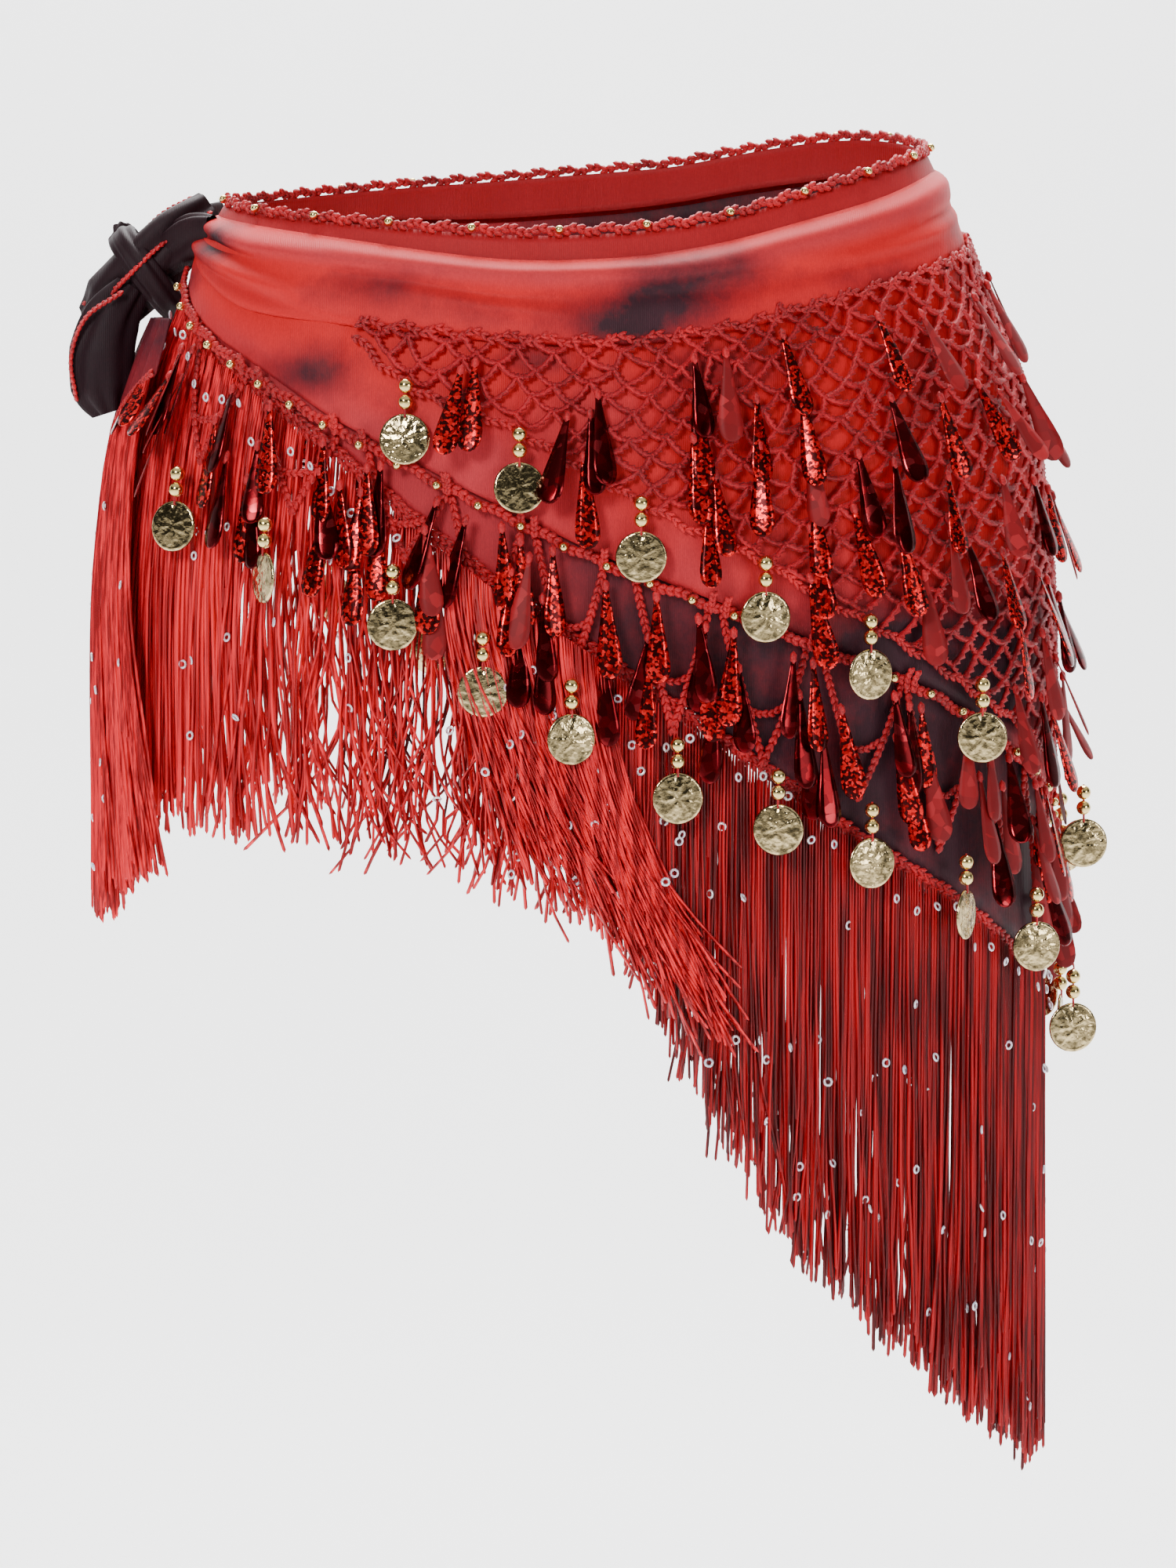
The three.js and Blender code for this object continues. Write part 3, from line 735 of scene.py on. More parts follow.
# ---- crochet

GOLD_BALL = ball(1.0, rings=8, sides=10)


def gold_beads(name, first, pitch, line_name, drop, off, radius):
    """Small gold beads all along one of the lines."""
    angles = to_angle(np.arange(to_arc(FRONT_END) + first, to_arc(BACK_END) - 6, pitch))
    point, across, out, up = axes_on(angles, line(line_name, angles) - drop, off)
    piece(name, scatter(GOLD_BALL[0] * radius, GOLD_BALL[1], point, across, out, up), BEAD_GOLD, "gold")


def hem_chain(line_name, drop, off, wave, pitch, width, stitch):
    """A crocheted chain all along one of the lines."""
    path = line_path(line_name, drop, off, FRONT_END, BACK_END, wave=wave, pitch=pitch)
    return chain_stitch(*path, width, stitch)


def make_edges():
    """The crocheted waist edge and upper hem, each with small gold beads, and the fringe heading."""
    rim = hem_chain("rim", -1, 1.6, 1.0, 15, 4.0, 3.1)
    piece("waist_edge_crochet", rim, CROCHET, "crochet", "waist_edge")
    gold_beads("waist_edge_beads", 8, 40.0, "rim", -1.4, 3.4, 1.7)
    hem = hem_chain("upper", 2.6, 6.6, 0.8, 17, 4.4, 3.2)
    piece("upper_hem_crochet", hem, CROCHET, "crochet", "upper_hem_cord")
    gold_beads("upper_hem_beads", 10, 15.5, "upper", 3.4, 8.9, 1.8)
    rows = [hem_chain("under", drop, off, 0.7, 11, width, 3.6)
            for drop, off, width in ((1.4, 3.4, 3.4), (4.4, 3.0, 3.8))]
    piece("fringe_heading_crochet", join(rows), CROCHET, "crochet", "fringe_heading")


make_edges()


# ---- the coins' places, read from the frame

def coin_places():
    """For each coin: its body, its thread's knot, its face's normal and its centre, in millimetres."""
    places = []
    for joint in frame["joints"]:
        node = frame["nodes"][joint["child"]]
        hook = np.array(joint["pos_m"]) / MM
        corners = np.array([node.matrix_world @ v.co for v in node.data.vertices]) / MM
        away = np.linalg.norm(corners - hook, axis=1)
        disc = corners[away > 16]
        middle = (disc.max(axis=0) + disc.min(axis=0)) / 2
        spread = np.linalg.eigh(np.cov((disc - disc.mean(axis=0)).T))
        face = spread[1][:, 0]
        outward = np.array([middle[0], middle[1], 0])
        face = face if face @ outward > 0 else -face
        up = unit(hook - middle)
        middle = hook - up * 24.0
        places.append((joint["child"], hook, face, middle, up))
    return places


COINS = coin_places()
COIN_RADIUS, BEAD_RADIUS = 10.0, 3.0


def coin_relief(radius, turn):
    """Height of the stamped face: a raised rim, a ring of dots, and a plain seven-leaved ornament."""
    rim = 0.35 * bell(radius, 9.2, 0.55)
    dots = 0.30 * bell(radius, 7.5, 0.7) * np.clip(np.cos(turn * 14), 0, 1)
    leaves = 0.22 * bell(radius, 4.6, 1.2) * np.clip(np.cos(turn * 7 + 0.6), 0, 1)
    inner = 0.18 * bell(radius, 2.4, 0.7) * np.clip(np.cos(turn * 5), 0, 1)
    dome = 0.80 * (1 - (radius / COIN_RADIUS) ** 2)
    return rim + dots + leaves + inner + dome


def coin_mesh():
    """A stamped coin, X across, Y out of its face, Z up, centred on the origin, with a hole at the top."""
    rings, sides = 15, 56
    lip, edge_height, thick = 0.15, 0.35, 0.45
    radius = np.append(np.linspace(0.4, COIN_RADIUS - 0.5, rings - 2), [COIN_RADIUS - lip, COIN_RADIUS])
    r, a = np.meshgrid(radius, circle(sides), indexing="ij")
    height = edge_height + coin_relief(r, a)
    height[-1], height[-2] = 0.0, edge_height
    hole = np.hypot(r * np.cos(a), r * np.sin(a) - 8.4)
    height = np.where(hole < 0.95, 0.05, height)
    front = np.stack([r * np.cos(a), height, r * np.sin(a)], axis=-1).reshape(-1, 3)
    back = np.concatenate([front[:sides], front[-2 * sides:-sides]]) * (1, 0, 1) - (0, thick, 0)
    at = np.arange((rings + 2) * sides).reshape(rings + 2, sides)
    nxt = np.roll(at, -1, axis=1)
    under = np.stack([at[-2], nxt[-2], nxt[-1], at[-1]], axis=-1)
    edge = np.stack([at[rings - 1], at[-1], nxt[-1], nxt[rings - 1]], axis=-1)
    faces = np.concatenate([wall_faces(rings, sides), under, edge, end_caps(at[0], at[-2])])
    return np.concatenate([front, back]), faces


def make_coins():
    """Each coin with its two beads and thread is one piece that swings with its own body."""
    disc = coin_mesh()
    bead = ball(BEAD_RADIUS, rings=9, sides=14)
    for name, hook, face, middle, up in COINS:
        across = unit(np.cross(face, up))
        face = np.cross(up, across)
        frame_of = (across[None], face[None], up[None])
        parts = [scatter(*disc, middle[None], *frame_of)]
        counts = [len(disc[1])]
        for drop in (3.3, 9.6):
            parts.append(scatter(*bead, (hook - up * drop)[None], *frame_of))
            counts.append(len(bead[1]))
        thread = np.linspace(0, 15.6, 4)
        path = hook[None] - thread[:, None] * up
        path[-2:] += face * 0.55
        parts.append(tubes(path[None], 0.45, sides=6, out=face))
        counts.append(len(parts[-1][1]))
        indices = np.repeat([0, 1, 1, 2], counts)
        obj = make_mesh(f"{name}_gold", *join(parts), [COIN_GOLD, BEAD_GOLD, CROCHET], indices)
        place(obj, "gold", name, body=name)


make_coins()


# ---- net and loops

CELL_WIDTH, CELL_HEIGHT = 14.5, 11.5


def make_net():
    """The crocheted diamond net: every knot is a little out of true, and the strands sag between them."""
    start, end = to_arc(NET_START), to_arc(NET_END)
    columns = int((end - start) / (CELL_WIDTH / 2))
    rows = int(260 / (CELL_HEIGHT / 2))
    jitter = rng.normal(0, 1.35, (rows + 2, columns + 2, 2))

    def knot(row, column):
        arc = start + column * CELL_WIDTH / 2 + jitter[row, column, 0]
        angle = to_angle(arc)
        return angle, line("band", angle) + 3 - row * CELL_HEIGHT / 2 + jitter[row, column, 1]

    paths = []
    for row in range(rows):
        for column in range(columns):
            if (row + column) % 2:
                continue
            for step in (-1, 1):
                if not 0 <= column + step < columns:
                    continue
                (a0, z0), (a1, z1) = knot(row, column), knot(row + 1, column + step)
                if z1 < max(line("net", a1), line("net", a0)) - 3:
                    continue
                t = np.linspace(0, 1, STRAND_STEPS)
                sag = -1.3 * np.sin(math.pi * t)
                kink = 0.16 * np.array([1, -1] * STRAND_STEPS)[:STRAND_STEPS]
                angle, z = a0 + (a1 - a0) * t + kink, z0 + (z1 - z0) * t + sag
                paths.append(hip_point(angle, z, OFF["net"] + rng.uniform(-0.3, 0.5)))
    paths = np.array(paths)
    bumps = 1 + 0.24 * np.cos(np.linspace(0, 8 * math.pi, STRAND_STEPS))
    thick = 1.2 * bumps[None, :] * rng.uniform(0.85, 1.15, (len(paths), 1))
    strands = tubes(paths, thick, sides=4)
    knots = paths[::2, 0]
    normal = level(knots)
    across = unit(np.cross(normal, (0, 0, 1)))
    fuzz = scatter(STITCH[0] * np.array([1.5, 1.2, 1.3]), STITCH[1], knots, across, normal,
                   np.broadcast_to([0.0, 0.0, 1.0], knots.shape))
    piece("net_crochet", join([strands, fuzz]), NET_YARN, "net", "net_panel")

    edge = []
    for name, drop, wave in (("band", -2, 1.6), ("net", 1, 1.2)):
        path = line_path(name, drop, OFF["net"] + 0.6, NET_START, NET_END, wave=wave, pitch=CELL_WIDTH)
        edge.append(chain_stitch(*path, 3.2, 3.3))
    piece("net_edges_crochet", join(edge), CROCHET, "crochet")


LOOP_HALF_WIDTH = 15.0


def hook_angle(hook):
    """The angle of a coin's hook, counted on from the knot round the front."""
    turn = math.degrees(math.atan2(hook[0], -hook[1]))
    return turn if turn > -90 else turn + 360


def loop_angles():
    """The angle and the depth below the hem of each loop's tip, where a coin of the lower row hangs."""
    turns = []
    for name, hook, *_ in COINS:
        if name.startswith("loop"):
            turn = hook_angle(hook)
            turns.append((turn, float(line("upper", turn)) - hook[2] - 1.7))
    return sorted(turns)


def on_cloth(angle, z, lift):
    """A place just off whichever layer is outermost there."""
    angle, z = np.asarray(angle, float), np.asarray(z, float)
    top = np.clip((z - line("upper", angle)) / 3, 0, 1)
    off = OFF["under"] + (OFF["upper"] - OFF["under"]) * top
    return hip_point(angle, z, off + lift)


def make_loops():
    """Crocheted V loops under the upper hem, drawn together at their tips, each with a coin's thread."""
    parts = []
    for angle, drop in LOOPS:
        radius = np.linalg.norm(hip_point(angle, line("upper", angle), 0.0)[:2])
        half = min(6.6, math.degrees(LOOP_HALF_WIDTH / radius))
        for hand in (-1, 1):
            t = np.linspace(0, 1, 14)
            turn = angle + hand * half * (1 - t**1.15) * rng.uniform(0.85, 1.1)
            top = line("upper", turn[0]) - 4
            tip = line("upper", angle) - drop
            z = top + (tip - top) * t
            path = on_cloth(turn, z, 1.8 + 1.2 * np.sin(math.pi * t))
            parts.append(chain_stitch(path, level(path), 3.5, 3.1))
            tall = np.linspace(0, 1, 3)
            peak = on_cloth(turn[0] + 0 * tall, top + 6 * tall, 4.6)
            parts.append(chain_stitch(peak, level(peak), 3.4, 2.4))
        fill_turn = angle + half * 0.42 * np.array([-1, -0.4, 0.4, 1])
        fill_z = line("upper", angle) - drop * np.array([0.62, 0.66, 0.66, 0.62])
        bar = on_cloth(fill_turn, fill_z, 2.4)
        parts.append(chain_stitch(bar, level(bar), 3.0, 2.6))
    piece("loop_chain_crochet", join(parts), CROCHET, "crochet", "loop_chain")


# ---- paillettes

def paillette_shape(length=34.0, width=9.6, thick=0.35):
    """A teardrop plate hanging from its narrow top at the origin: X across, Y out, Z up."""
    t = np.array([0, 0.1, 0.35, 0.62, 0.78, 0.87, 0.94, 0.98, 1.0])
    half = width / 2 * np.array([0.20, 0.28, 0.54, 0.86, 1.0, 0.97, 0.78, 0.50, 0.14])
    across = np.array([-1.0, -0.45, 0.45, 1.0])
    belly = 0.5 * (1 - across**2)[None, :] * half[:, None] / (width / 2)
    hang = np.broadcast_to(-length * t[:, None], belly.shape)
    top = np.stack([half[:, None] * across[None], belly + thick / 2, hang], axis=-1)
    low = top - np.array([0, thick, 0])
    count = belly.size
    front, back = grid_faces(*belly.shape), grid_faces(*belly.shape)[:, ::-1] + count
    at = np.arange(count).reshape(belly.shape)
    rim = np.concatenate([at[:, 0], at[-1, 1:], at[-2::-1, -1], at[0, -2:0:-1]])
    nxt = np.roll(rim, -1)
    edge = np.stack([rim, rim + count, nxt + count, nxt], axis=-1)
    return np.concatenate([top.reshape(-1, 3), low.reshape(-1, 3)]), np.concatenate([front, back, edge])


def turned(across, out, up, swing, twist, tip):
    """Axes turned sideways by a swing, round the hanging line by a twist, and outward by a tip."""
    def spin(a, b, turn):
        c, s = np.cos(turn)[:, None], np.sin(turn)[:, None]
        return a * c + b * s, b * c - a * s
    across, up = spin(across, up, swing)
    out, across = spin(out, across, twist)
    out, up = spin(out, up, tip)
    return across, out, up


NET_ROWS = ((0.04, 0.75), (0.24, 0.9), (0.44, 0.9), (0.62, 0.95), (0.78, 0.9), (0.90, 0.85))  # depth, share
LOOP_PLACES = ((1.15, 3), (0.95, 18), (0.66, 2), (1.25, 30))  # aside of the loop, drop below the hem


def crosses_hook(angle, z):
    """Whether a paillette hung here would lie across the hook of a coin."""
    hooks = [(turn, line("upper", turn) - drop, 3.4) for turn, drop in LOOPS]
    hooks += [(turn, line("net", turn), 4.8) for turn in NET_COIN_ANGLES]
    return any(abs(angle - turn) < near and z > low - 6 and z - 34 < low + 1 for turn, low, near in hooks)


def make_paillettes():
    """Rows of paillettes on the net's knots, in pairs beside the loops, and a few over the fringe's top."""
    places = []
    for row, (down, share) in enumerate(NET_ROWS):
        pitch = 22.0 - 7.0 * down
        for arc in np.arange(to_arc(NET_START) + 22 + 11 * (row % 2), to_arc(NET_END) - 14, pitch):
            angle = float(to_angle(arc + rng.uniform(-5, 5)))
            top, low = line("band", angle), line("net", angle)
            depth = top - low
            if rng.uniform() > share or depth * down > depth - 8 or depth < 30 * (0.3 + down):
                continue
            z = top - depth * down - rng.uniform(0, 8)
            places.append((angle, z, 4.2 + rng.uniform(0, 2.4)))
    for angle, _ in LOOPS:
        for hand in (-1, 1):
            for out_share, drop in LOOP_PLACES:
                if rng.uniform() < 0.16:
                    continue
                turn = angle + hand * 4.6 * out_share * rng.uniform(0.8, 1.15)
                z = line("upper", turn) - 5 - drop - rng.uniform(0, 5)
                places.append((turn, z, 3.6 + rng.uniform(0, 2.0)))
    for arc in np.arange(to_arc(FRONT_END) + 9, to_arc(BACK_END) - 8, 12.0):
        angle = float(to_angle(arc + rng.uniform(-4, 4)))
        if line("upper", angle) - line("under", angle) < 34:
            places.append((angle, line("upper", angle) - 10 - rng.uniform(0, 34), 5.2))
    places = [place for place in places if not crosses_hook(*place[:2])]
    angle, z, lift = (np.array(column, float) for column in zip(*places))
    point, across, out, up = axes_on(angle, z, OFF["upper"] + lift)
    side = np.abs(np.sin(np.radians(angle)))
    count = len(angle)
    swing = rng.normal(0, 0.10, count) + 0.10 * side
    twist = rng.normal(0, 0.26, count) - 0.75 * side**3 * rng.uniform(0, 1, count)
    tip = 0.02 + np.abs(rng.normal(0.04, 0.05, count)) + np.abs(rng.normal(0, 0.16, count)) * side**3
    across, out, up = turned(across, out, up, swing, twist, tip)
    shape, faces = paillette_shape()
    size = rng.uniform(0.9, 1.06, count)
    right = np.clip((angle - 45) / 45, 0, 1)
    draw = rng.uniform(size=count)
    glitter_share = 0.50 - 0.28 * right
    glitter = draw < glitter_share
    garnet = ~glitter & (draw < 0.84 - 0.34 * right)
    satin = ~(glitter | garnet)
    for name, slot, mask, material in (("glitter", "paillette_glitter", glitter, GLITTER),
                                       ("garnet", "paillette_garnet", garnet, GARNET),
                                       ("satin", "paillette_matte", satin, SATIN)):
        mesh = scatter(shape, faces, point[mask], across[mask], out[mask], up[mask], size[mask])
        piece(f"paillettes_{name}", mesh, material, slot)
    tops = point + up * 0.6
    knots = scatter(STITCH[0] * np.array([1.7, 1.4, 2.6]), STITCH[1], tops, across, out, up)
    piece("paillette_knots", knots, CROCHET, "crochet")


# ---- fringe

STRETCHES = (
    ("fringe_front_end", FRONT_END, -40), ("fringe_front", -40, 14), ("fringe_left_front", 14, 56),
    ("fringe_left_hip", 56, 116), ("fringe_left_back", 116, 164), ("fringe_back", 164, 218),
    ("fringe_back_end", 218, BACK_END),
)
THREAD_TURNS = np.append(np.linspace(0, 0.993, 15), 1.0)
THREAD_PITCH = 1.2
THREAD_RADIUS = 0.76


def strand_paths(arcs, top_z, tip_z, off_top, off_low, sway, curl, spread, draw):
    """Threads hung from the hem: tips gather in clumps, and each thread waves in its own way."""
    count = len(arcs)
    t = THREAD_TURNS[None, :]
    phase, rate = draw.uniform(0, 2 * math.pi, (count, 1)), draw.uniform(1.2, 2.6, (count, 1))
    second, quick = draw.uniform(0, 2 * math.pi, (count, 1)), draw.uniform(3.0, 6.0, (count, 1))
    waves = np.sin(rate * math.pi * t + phase) + 0.4 * np.sin(quick * math.pi * t + second)
    wander = curl[:, None] * t * waves
    arc = arcs[:, None] + sway[:, None] * t**1.6 + spread[:, None] * t**5 + wander
    z = top_z[:, None] + (tip_z - top_z)[:, None] * t
    float_out = 0.35 * curl[:, None] * t * np.sin(rate * 2.2 * t + second)
    off = off_top[:, None] * (1 - t) + off_low[:, None] * t + float_out
    return hip_point(to_angle(arc), z, np.maximum(off, 1.0))


def fringe_threads(start, end, draw):
    """Roots, lengths and liveliness of the threads of one stretch, in two layers."""
    arcs = np.arange(to_arc(start), to_arc(end), THREAD_PITCH)
    arcs = np.concatenate([arcs, arcs + THREAD_PITCH / 2])
    count = len(arcs)
    layer = np.repeat([0, 1], count // 2)
    angle = to_angle(arcs)
    fine = 1.3 * np.sin(arcs / 2.2 + 1.9 * np.sin(arcs / 17.0))
    bunch = fine + 1.2 * np.sin(arcs / 5.7 + 2.1 + np.sin(arcs / 31.0))
    front = front_angle(angle)
    loose = np.clip((6 - front) / 26, 0, 1) * np.clip((front + 60) / 14, 0, 1)
    curl = 0.55 + draw.gamma(2.0, 0.22, count) + loose * draw.gamma(2.2, 2.6, count)
    sway = -1.3 * bunch * (1.0 + 1.6 * loose) + draw.normal(0, 0.5, count)
    sway = sway + loose * draw.normal(0, 7.0, count)
    spread = draw.normal(0, 1, count) * (3.6 + 9 * loose) * (draw.uniform(size=count) < 0.5)
    top = line("under", angle) - 5 + draw.uniform(-1.5, 1.0, count)
    ragged = smooth_noise(count, 9, 9.0, draw) + draw.normal(0, 4.5, count)
    ragged = ragged + 9.0 * (draw.uniform(size=count) < 0.05)
    tip = line("tips", angle) + 5 + np.where(ragged > 0, ragged * 1.1, ragged * 0.6)
    sparse = draw.uniform(size=count) > 0.06 + 0.40 * loose
    keep = sparse & (tip < top - 12)
    off_top = OFF["fringe"] + 1.4 + 1.2 * layer
    off_low = OFF["fringe"] + draw.uniform(-1.0, 3.0, count) + layer + loose * draw.uniform(-1, 4, count)
    return [column[keep] for column in (arcs, top, tip, off_top, off_low, sway, curl, spread)]


def swept_threads(draw):
    """A lock of threads in front of the rest, swept from the front towards the left hip."""
    count = 260
    root = draw.uniform(-24, 4, count)
    arcs = to_arc(root)
    top = line("under", root) - 4
    reach = np.clip((root + 22) / 26, 0, 1)
    tip = -258 - 84 * reach**1.3 + draw.normal(0, 9, count)
    sway = 24 + 24 * reach + draw.normal(0, 5, count)
    curl = 0.8 + draw.gamma(2.0, 0.6, count)
    off = OFF["fringe"] + 5.0 + draw.uniform(0, 4, count)
    return arcs, top, tip, off, off + draw.uniform(-2, 2, count), sway, curl, draw.normal(0, 3, count)


RING_SPOTS = []


def triangular_tubes(paths, radius):
    """Three-sided strands, all of quads, for the many fringe threads."""
    strands, steps = paths.shape[:2]
    tangent = unit(np.gradient(paths, axis=1))
    side = unit(np.cross(tangent, level(paths)))
    turn = math.pi / 2 + np.array([0, 2.1, -2.1])
    return ring_points(paths, radius, side, np.cross(side, tangent), turn), wall_faces(steps, 3, strands)


def thread_radius(paths, draw):
    """Thin at both ends, so that no open end shows."""
    ends = np.clip(THREAD_TURNS / 0.02, 0.5, 1) * np.clip((1 - THREAD_TURNS) / 0.006, 0.02, 1)
    return THREAD_RADIUS * draw.uniform(0.85, 1.15, (len(paths), 1)) * ends[None, :]


def scatter_rings(paths, share, draw):
    """Remember a few places along the threads for ring sequins."""
    for path in paths[draw.uniform(size=len(paths)) < share]:
        step = draw.integers(3, len(path) - 2)
        RING_SPOTS.append(path[step])


def make_fringe():
    """Each stretch of the fringe, thread by thread: bright by the knot and deep red round the left hip."""
    for name, start, end in STRETCHES:
        draw = np.random.default_rng(len(name) * 31 + int(start) + 200)
        paths = strand_paths(*fringe_threads(start, end, draw), draw)
        if name == "fringe_front":
            paths = np.concatenate([paths, strand_paths(*swept_threads(draw), draw)])
        scatter_rings(paths, 0.17 if name in ("fringe_left_front", "fringe_left_hip") else 0.10, draw)
        mesh = triangular_tubes(paths, thread_radius(paths, draw))
        material = FRINGE_RED if start < 10 or start > 200 else FRINGE_DEEP
        piece(f"{name}_threads", mesh, material, "fringe", name)


def make_rings():
    """Clear ring sequins threaded on the fringe, and a few along the hem."""
    draw = np.random.default_rng(19)
    spots = np.array(RING_SPOTS)
    hem = np.arange(to_arc(FRONT_END) + 6, to_arc(BACK_END) - 6, 9.0)
    angle = to_angle(hem)
    hem_z = line("under", angle) - 6 - draw.uniform(0, 16, len(angle))
    spots = np.concatenate([spots, hip_point(angle, hem_z, OFF["fringe"] + 4.4)])
    outward = unit(spots * (1, 1, 0) + draw.normal(0, 60, spots.shape) * (1, 1, 0.6))
    across = unit(np.cross(outward, (0, 0, 1.0)))
    up = np.cross(across, outward)
    turn, tube = np.meshgrid(circle(10), circle(4), indexing="ij")
    radius = 1.45 + 0.55 * np.cos(tube)
    torus = np.stack([radius * np.cos(turn), 0.5 * np.sin(tube), radius * np.sin(turn)], axis=-1)
    at = np.arange(40).reshape(10, 4)
    a, b = np.roll(at, -1, axis=0), np.roll(at, -1, axis=1)
    c = np.roll(a, -1, axis=1)
    faces = np.stack([at, b, c, a], axis=-1).reshape(-1, 4)
    rings = scatter(torus.reshape(-1, 3), faces, spots + level(spots) * 1.2, across, outward, up)
    piece("ring_sequins", rings, RING, "ring_sequin")


# ---- knot and tails

TAILS = (  # name, start, end, angle where the hem is high, angle where it is low
    ("front_tail", -89, -73, -73, -89),
    ("back_tail", -107, -91, -107, -91),
)
KNOT_ANGLE = -90


def tail_hem(angle, high_at, low_at):
    """The slanting lower edge of a tied end."""
    return -82 - 30 * (angle - high_at) / (low_at - high_at)


def make_tails():
    """The tied ends: a short piece of cloth each, with its crocheted hem and fringe."""
    for name, start, end, high_at, low_at in TAILS:
        hem = lambda a: tail_hem(a, high_at, low_at)
        angle, z, down = stretch_of(start, end, lambda a: -60 + 0 * a, hem, 60, 26)
        pleat = 1.3 * np.sin((angle - start) * 1.9) * (0.4 + 0.6 * down)
        obj = cloth(f"{name}_cloth", angle, z, 13.2 + pleat, CHIFFON_PLUM, 0.9 - 0.3 * down, 0.3)
        place(obj, "plum_chiffon", name)
        path_angle = np.linspace(start, end, 24)
        path = hip_point(path_angle, hem(path_angle), 14.0)
        heading = chain_stitch(path, level(path), 3.6, 2.8)
        piece(f"{name}_heading", heading, CROCHET, "crochet")
        draw = np.random.default_rng(len(name) + 91)
        arcs = np.repeat(np.arange(to_arc(start), to_arc(end), 1.0), 4)
        count = len(arcs)
        root = to_angle(arcs)
        inward = np.abs(root - KNOT_ANGLE) / 17
        tip = -303 + 52 * np.abs(inward - 0.35) ** 1.4 + smooth_noise(count, 9, 5, draw)
        tip = tip + np.abs(draw.normal(0, 4, count))
        fan = 0.5 * (arcs - to_arc(KNOT_ANGLE)) + draw.normal(0, 2.4, count)
        layer = draw.uniform(0, 4.5, count)
        paths = strand_paths(arcs, hem(root) - 1, tip, 13.0 + 0.4 * layer, 11.0 + layer, fan,
                             0.6 + draw.gamma(2.0, 0.4, count), draw.normal(0, 2.2, count), draw)
        scatter_rings(paths, 0.12, draw)
        mesh = triangular_tubes(paths, thread_radius(paths, draw))
        piece(f"{name}_fringe_threads", mesh, FRINGE_RED, "fringe", f"{name}_fringe")


def twisted_roll(path, widths, depths, twist, ridges, seed):
    """A roll of gathered cloth along a path: ridges wind round it and fade in and out."""
    draw = np.random.default_rng(seed)
    around, steps = 56, len(path)
    turn = circle(around)
    tangent = unit(np.gradient(path, axis=0))
    side = unit(np.cross(tangent, (0.0, 1.0, 0.0)))
    out = np.cross(side, tangent)
    t = np.linspace(0, 1, steps)[:, None]
    fold = np.zeros((steps, around))
    for k, depth in ridges:
        phase, drift = draw.uniform(0, 6.3), draw.uniform(0.7, 1.3)
        fade = 0.6 + 0.4 * np.sin(5 * t + phase)
        fold += depth * np.sin(k * turn[None] + phase + twist * drift * t) * fade
    fold = np.where(fold > 0, fold * 0.8, fold * 1.25)
    wide = np.interp(t, np.linspace(0, 1, len(widths)), widths)
    deep = np.interp(t, np.linspace(0, 1, len(depths)), depths)
    points = (path[:, None] + ((wide + fold * wide * 0.1) * np.cos(turn))[..., None] * side[:, None]
              + ((deep + fold * deep * 0.1) * np.sin(turn))[..., None] * out[:, None])
    return points.reshape(-1, 3), wall_faces(steps, around)[:, [0, 3, 2, 1]]


def bent(corners, steps):
    """A smooth path through a few corners."""
    corners = np.array(corners, float)
    keys = np.arange(len(corners))
    at = np.linspace(0, len(corners) - 1, steps)
    return np.stack([read_table(keys, corners[:, k], at) for k in range(3)], axis=-1)


def rolled_piece(name, node, rolls, dark):
    """One sheet of cloth made of a few rolls, tie-dyed dark and gathered."""
    points, faces = join([twisted_roll(*roll) for roll in rolls])
    obj = make_mesh(name, points, faces, [CHIFFON_NIGHT])
    paint(obj, len(points), dark, 0.25)
    place(obj, "plum_chiffon", node)


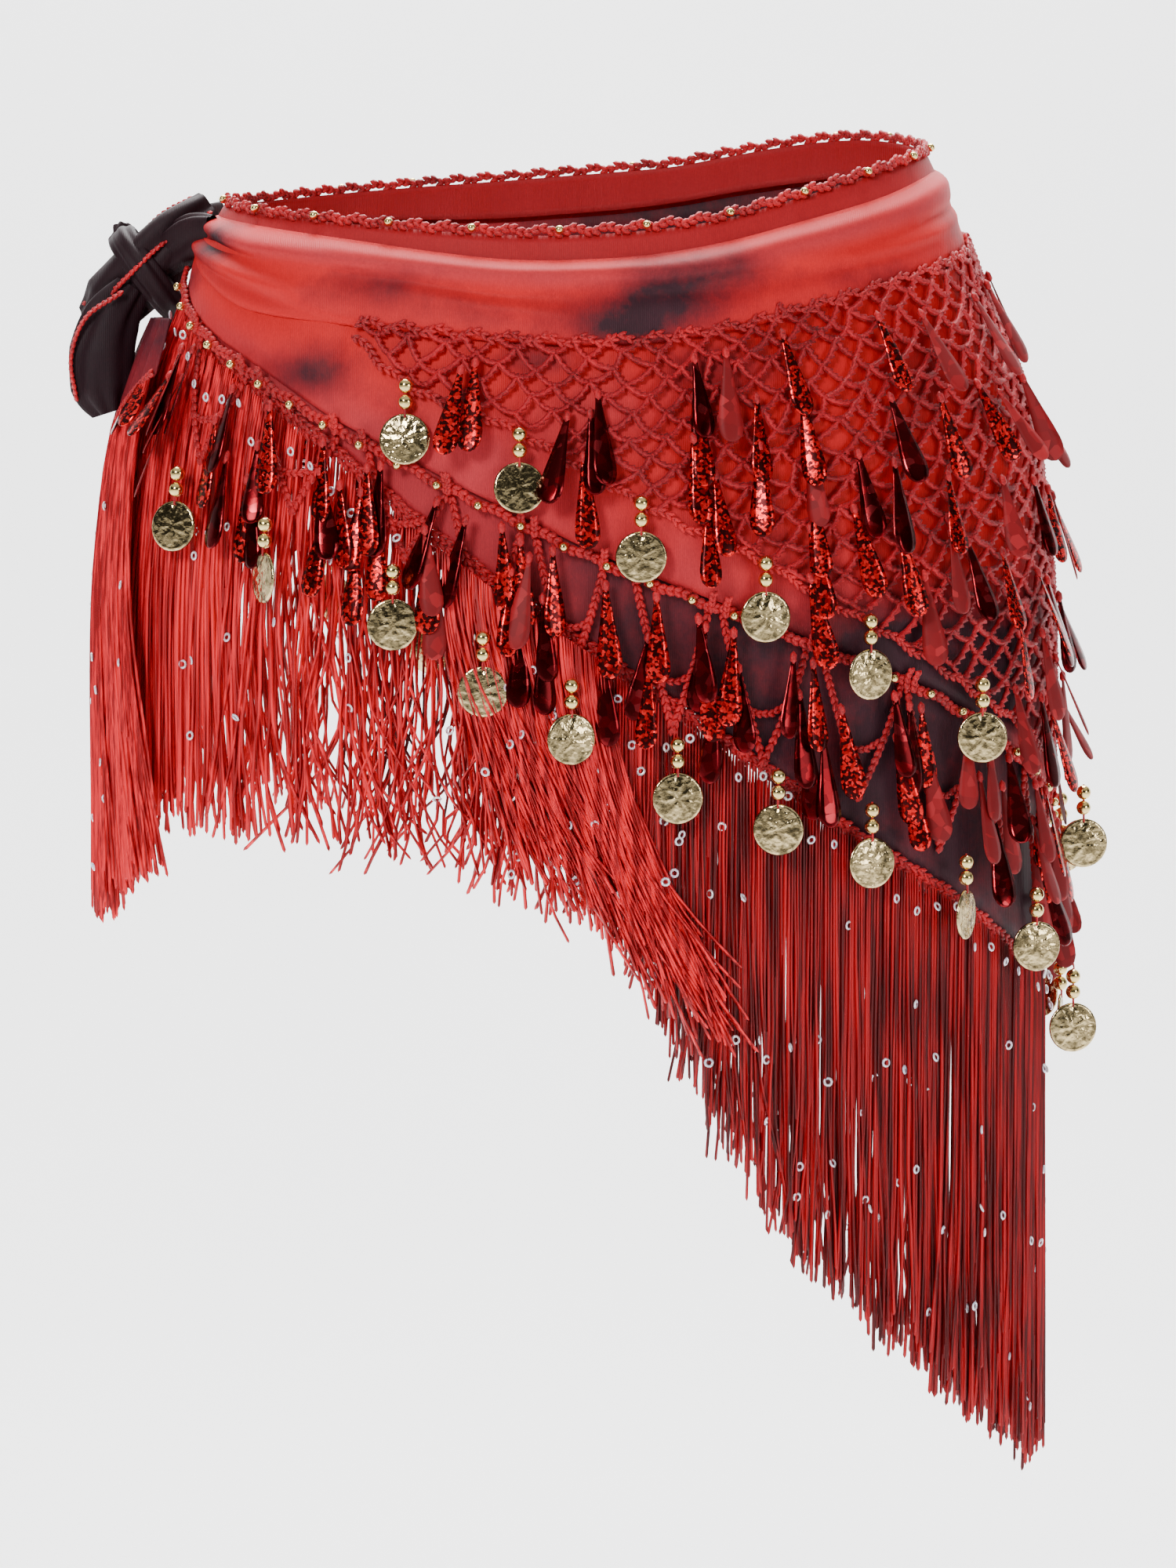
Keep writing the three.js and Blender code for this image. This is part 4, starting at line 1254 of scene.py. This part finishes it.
def make_knot():
    """Both ends are rolled together, wrapped once by a turn of cloth, and leave a pouch below."""
    roll = bent([(-150, -2, -17), (-163, -6, -27), (-177, -5, -42), (-190, -2, -55), (-199, 0, -62)], 48)
    front_neck = bent([(-147, -32, -27), (-156, -22, -28), (-165, -12, -33), (-174, -5, -40)], 30)
    back_neck = bent([(-146, 36, -22), (-156, 24, -26), (-165, 12, -32), (-174, 2, -40)], 30)
    wrap = bent([(-181, 15, -33), (-186, 4, -27), (-184, -12, -30), (-175, -19, -42), (-166, -14, -54),
                 (-163, 2, -57), (-166, 14, -52)], 52)
    pouch = bent([(-181, -17, -48), (-189, -20, -60), (-193, -22, -74), (-193, -23, -88),
                  (-190, -23, -98)], 44)
    # each roll: path, half widths, half depths, twist, ridges as (count round it, depth), seed
    crumple = ((2, 1.2), (3, 1.3), (5, 1.1), (9, 0.7))
    neck_depths = (3.5, 6, 8, 7)
    rolled_piece("knot_cloth", "knot", (
        (roll, (9, 12, 13, 12, 7), (9, 14, 16, 14, 8), 2.6, crumple, 5),
        (front_neck, (9, 10, 9, 7), neck_depths, 0.6, crumple, 6),
        (back_neck, (10, 11, 9, 7), neck_depths, 0.6, crumple, 7),
    ), 1.35)
    wrap_widths, wrap_depths = (5, 5.5, 6, 6.5, 6, 5.5, 5), (3.2, 3.4, 3.8, 4, 3.8, 3.4, 3.2)
    rolled_piece("knot_turn_cloth", "knot_turn", (
        (wrap, wrap_widths, wrap_depths, 1.5, ((2, 1.2), (5, 1.3), (8, 0.7)), 8),
    ), 1.6)
    rolled_piece("knot_loop_cloth", "knot_loop", (
        (pouch, (6, 10, 12.5, 12, 6.5), (4, 6, 7.5, 7, 4.5), 0.8, ((2, 1.2), (4, 1.4), (7, 1.1)), 12),
    ), 1.6)
    edges = [
        bent([(-150, -12, -18), (-168, -20, -30), (-183, -22, -44), (-197, -16, -58), (-204, -12, -66)], 40),
        bent([(-185, -26, -50), (-199, -27, -60), (-205, -27, -76), (-203, -27, -92)], 30),
        bent([(-158, -4, -12), (-172, -2, -20), (-188, -2, -38), (-201, -4, -54)], 30),
    ]
    parts = [chain_stitch(path, unit(path * (0.6, 0, 0) + (0, -60.0, 20.0)), 2.6, 2.4) for path in edges]
    piece("knot_edges_crochet", join(parts), CROCHET, "crochet")


LOOPS = loop_angles()
NET_COIN_ANGLES = [hook_angle(hook) for name, hook, *_ in COINS if name.startswith("net")]
make_net()
make_loops()
make_paillettes()
make_fringe()
make_tails()
make_rings()
make_knot()


# ---- floor and light

def make_stage():
    """A plain pale floor that turns up into a backdrop well behind the scarf."""
    floor, near, depth, reach, height, bend = -900.0, -16000.0, 2600.0, 16000.0, 3000.0, 700.0
    turn = np.linspace(0, math.pi / 2, 10)
    curve_y, curve_z = depth - bend + bend * np.sin(turn), floor + bend - bend * np.cos(turn)
    profile_y, profile_z = np.array([near, *curve_y, depth]), np.array([floor, *curve_z, height])
    sides = [np.stack([np.full(len(profile_y), x), profile_y, profile_z], axis=-1) for x in (-reach, reach)]
    n = Nodes("stage")
    n.color(n.ramp(n.noise(3), [(0.3, (0.93, 0.93, 0.94)), (0.7, (0.96, 0.96, 0.96))]))
    n.set(Roughness=0.9, Emission_Strength=0.22)
    faces = grid_faces(2, len(profile_y))[:, ::-1]
    make_mesh("stage", np.stack(sides), faces, [n.material])


def make_light(name, location, size, power, target=(0, 0, -0.25)):
    """A round soft light, turned to face its target; lengths in metres, power in watts."""
    data = bpy.data.lights.new(name, "AREA")
    data.shape = "DISK"
    data.size = size
    data.energy = power
    light = bpy.data.objects.new(name, data)
    light.location = location
    direction = np.array(target) - np.array(location)
    yaw = math.atan2(direction[1], direction[0])
    pitch = math.atan2(direction[2], np.hypot(*direction[:2]))
    light.rotation_euler = (math.pi / 2 + pitch, 0, yaw - math.pi / 2)
    bpy.context.scene.collection.objects.link(light)


SKY = ((0.09, 0.7), (0.15, 0.02), (0.4, 0.05), (0.8, 1.0))  # height, brightness


def make_lights():
    """A sky that is pale low down and overhead, and dark between, so that gold and plastic have contrast."""
    world = bpy.data.worlds.new("studio")
    world.use_nodes = True
    nodes, links = world.node_tree.nodes, world.node_tree.links
    direction = nodes.new("ShaderNodeTexCoord")
    height = nodes.new("ShaderNodeSeparateXYZ")
    sky = nodes.new("ShaderNodeValToRGB")
    links.new(direction.outputs["Generated"], height.inputs[0])
    links.new(height.outputs["Z"], sky.inputs["Fac"])
    links.new(sky.outputs["Color"], nodes["Background"].inputs["Color"])
    stops = sky.color_ramp.elements
    for position in (0.3, 0.6):
        stops.new(position)
    for stop, (position, gray) in zip(stops, SKY):
        stop.position = position
        stop.color = (gray, gray, gray, 1)
    nodes["Background"].inputs["Strength"].default_value = 0.6
    bpy.context.scene.world = world
    make_light("key", (-1.2, -2.3, 1.1), 0.8, 56)
    make_light("fill", (1.9, -1.8, 0.3), 1.0, 18)
    make_light("back", (0.3, 1.4, 1.3), 1.0, 14)
    make_light("backdrop", (0.0, 1.0, 2.2), 2.0, 260, target=(0, 2.6, -0.4))


make_stage()
make_lights()
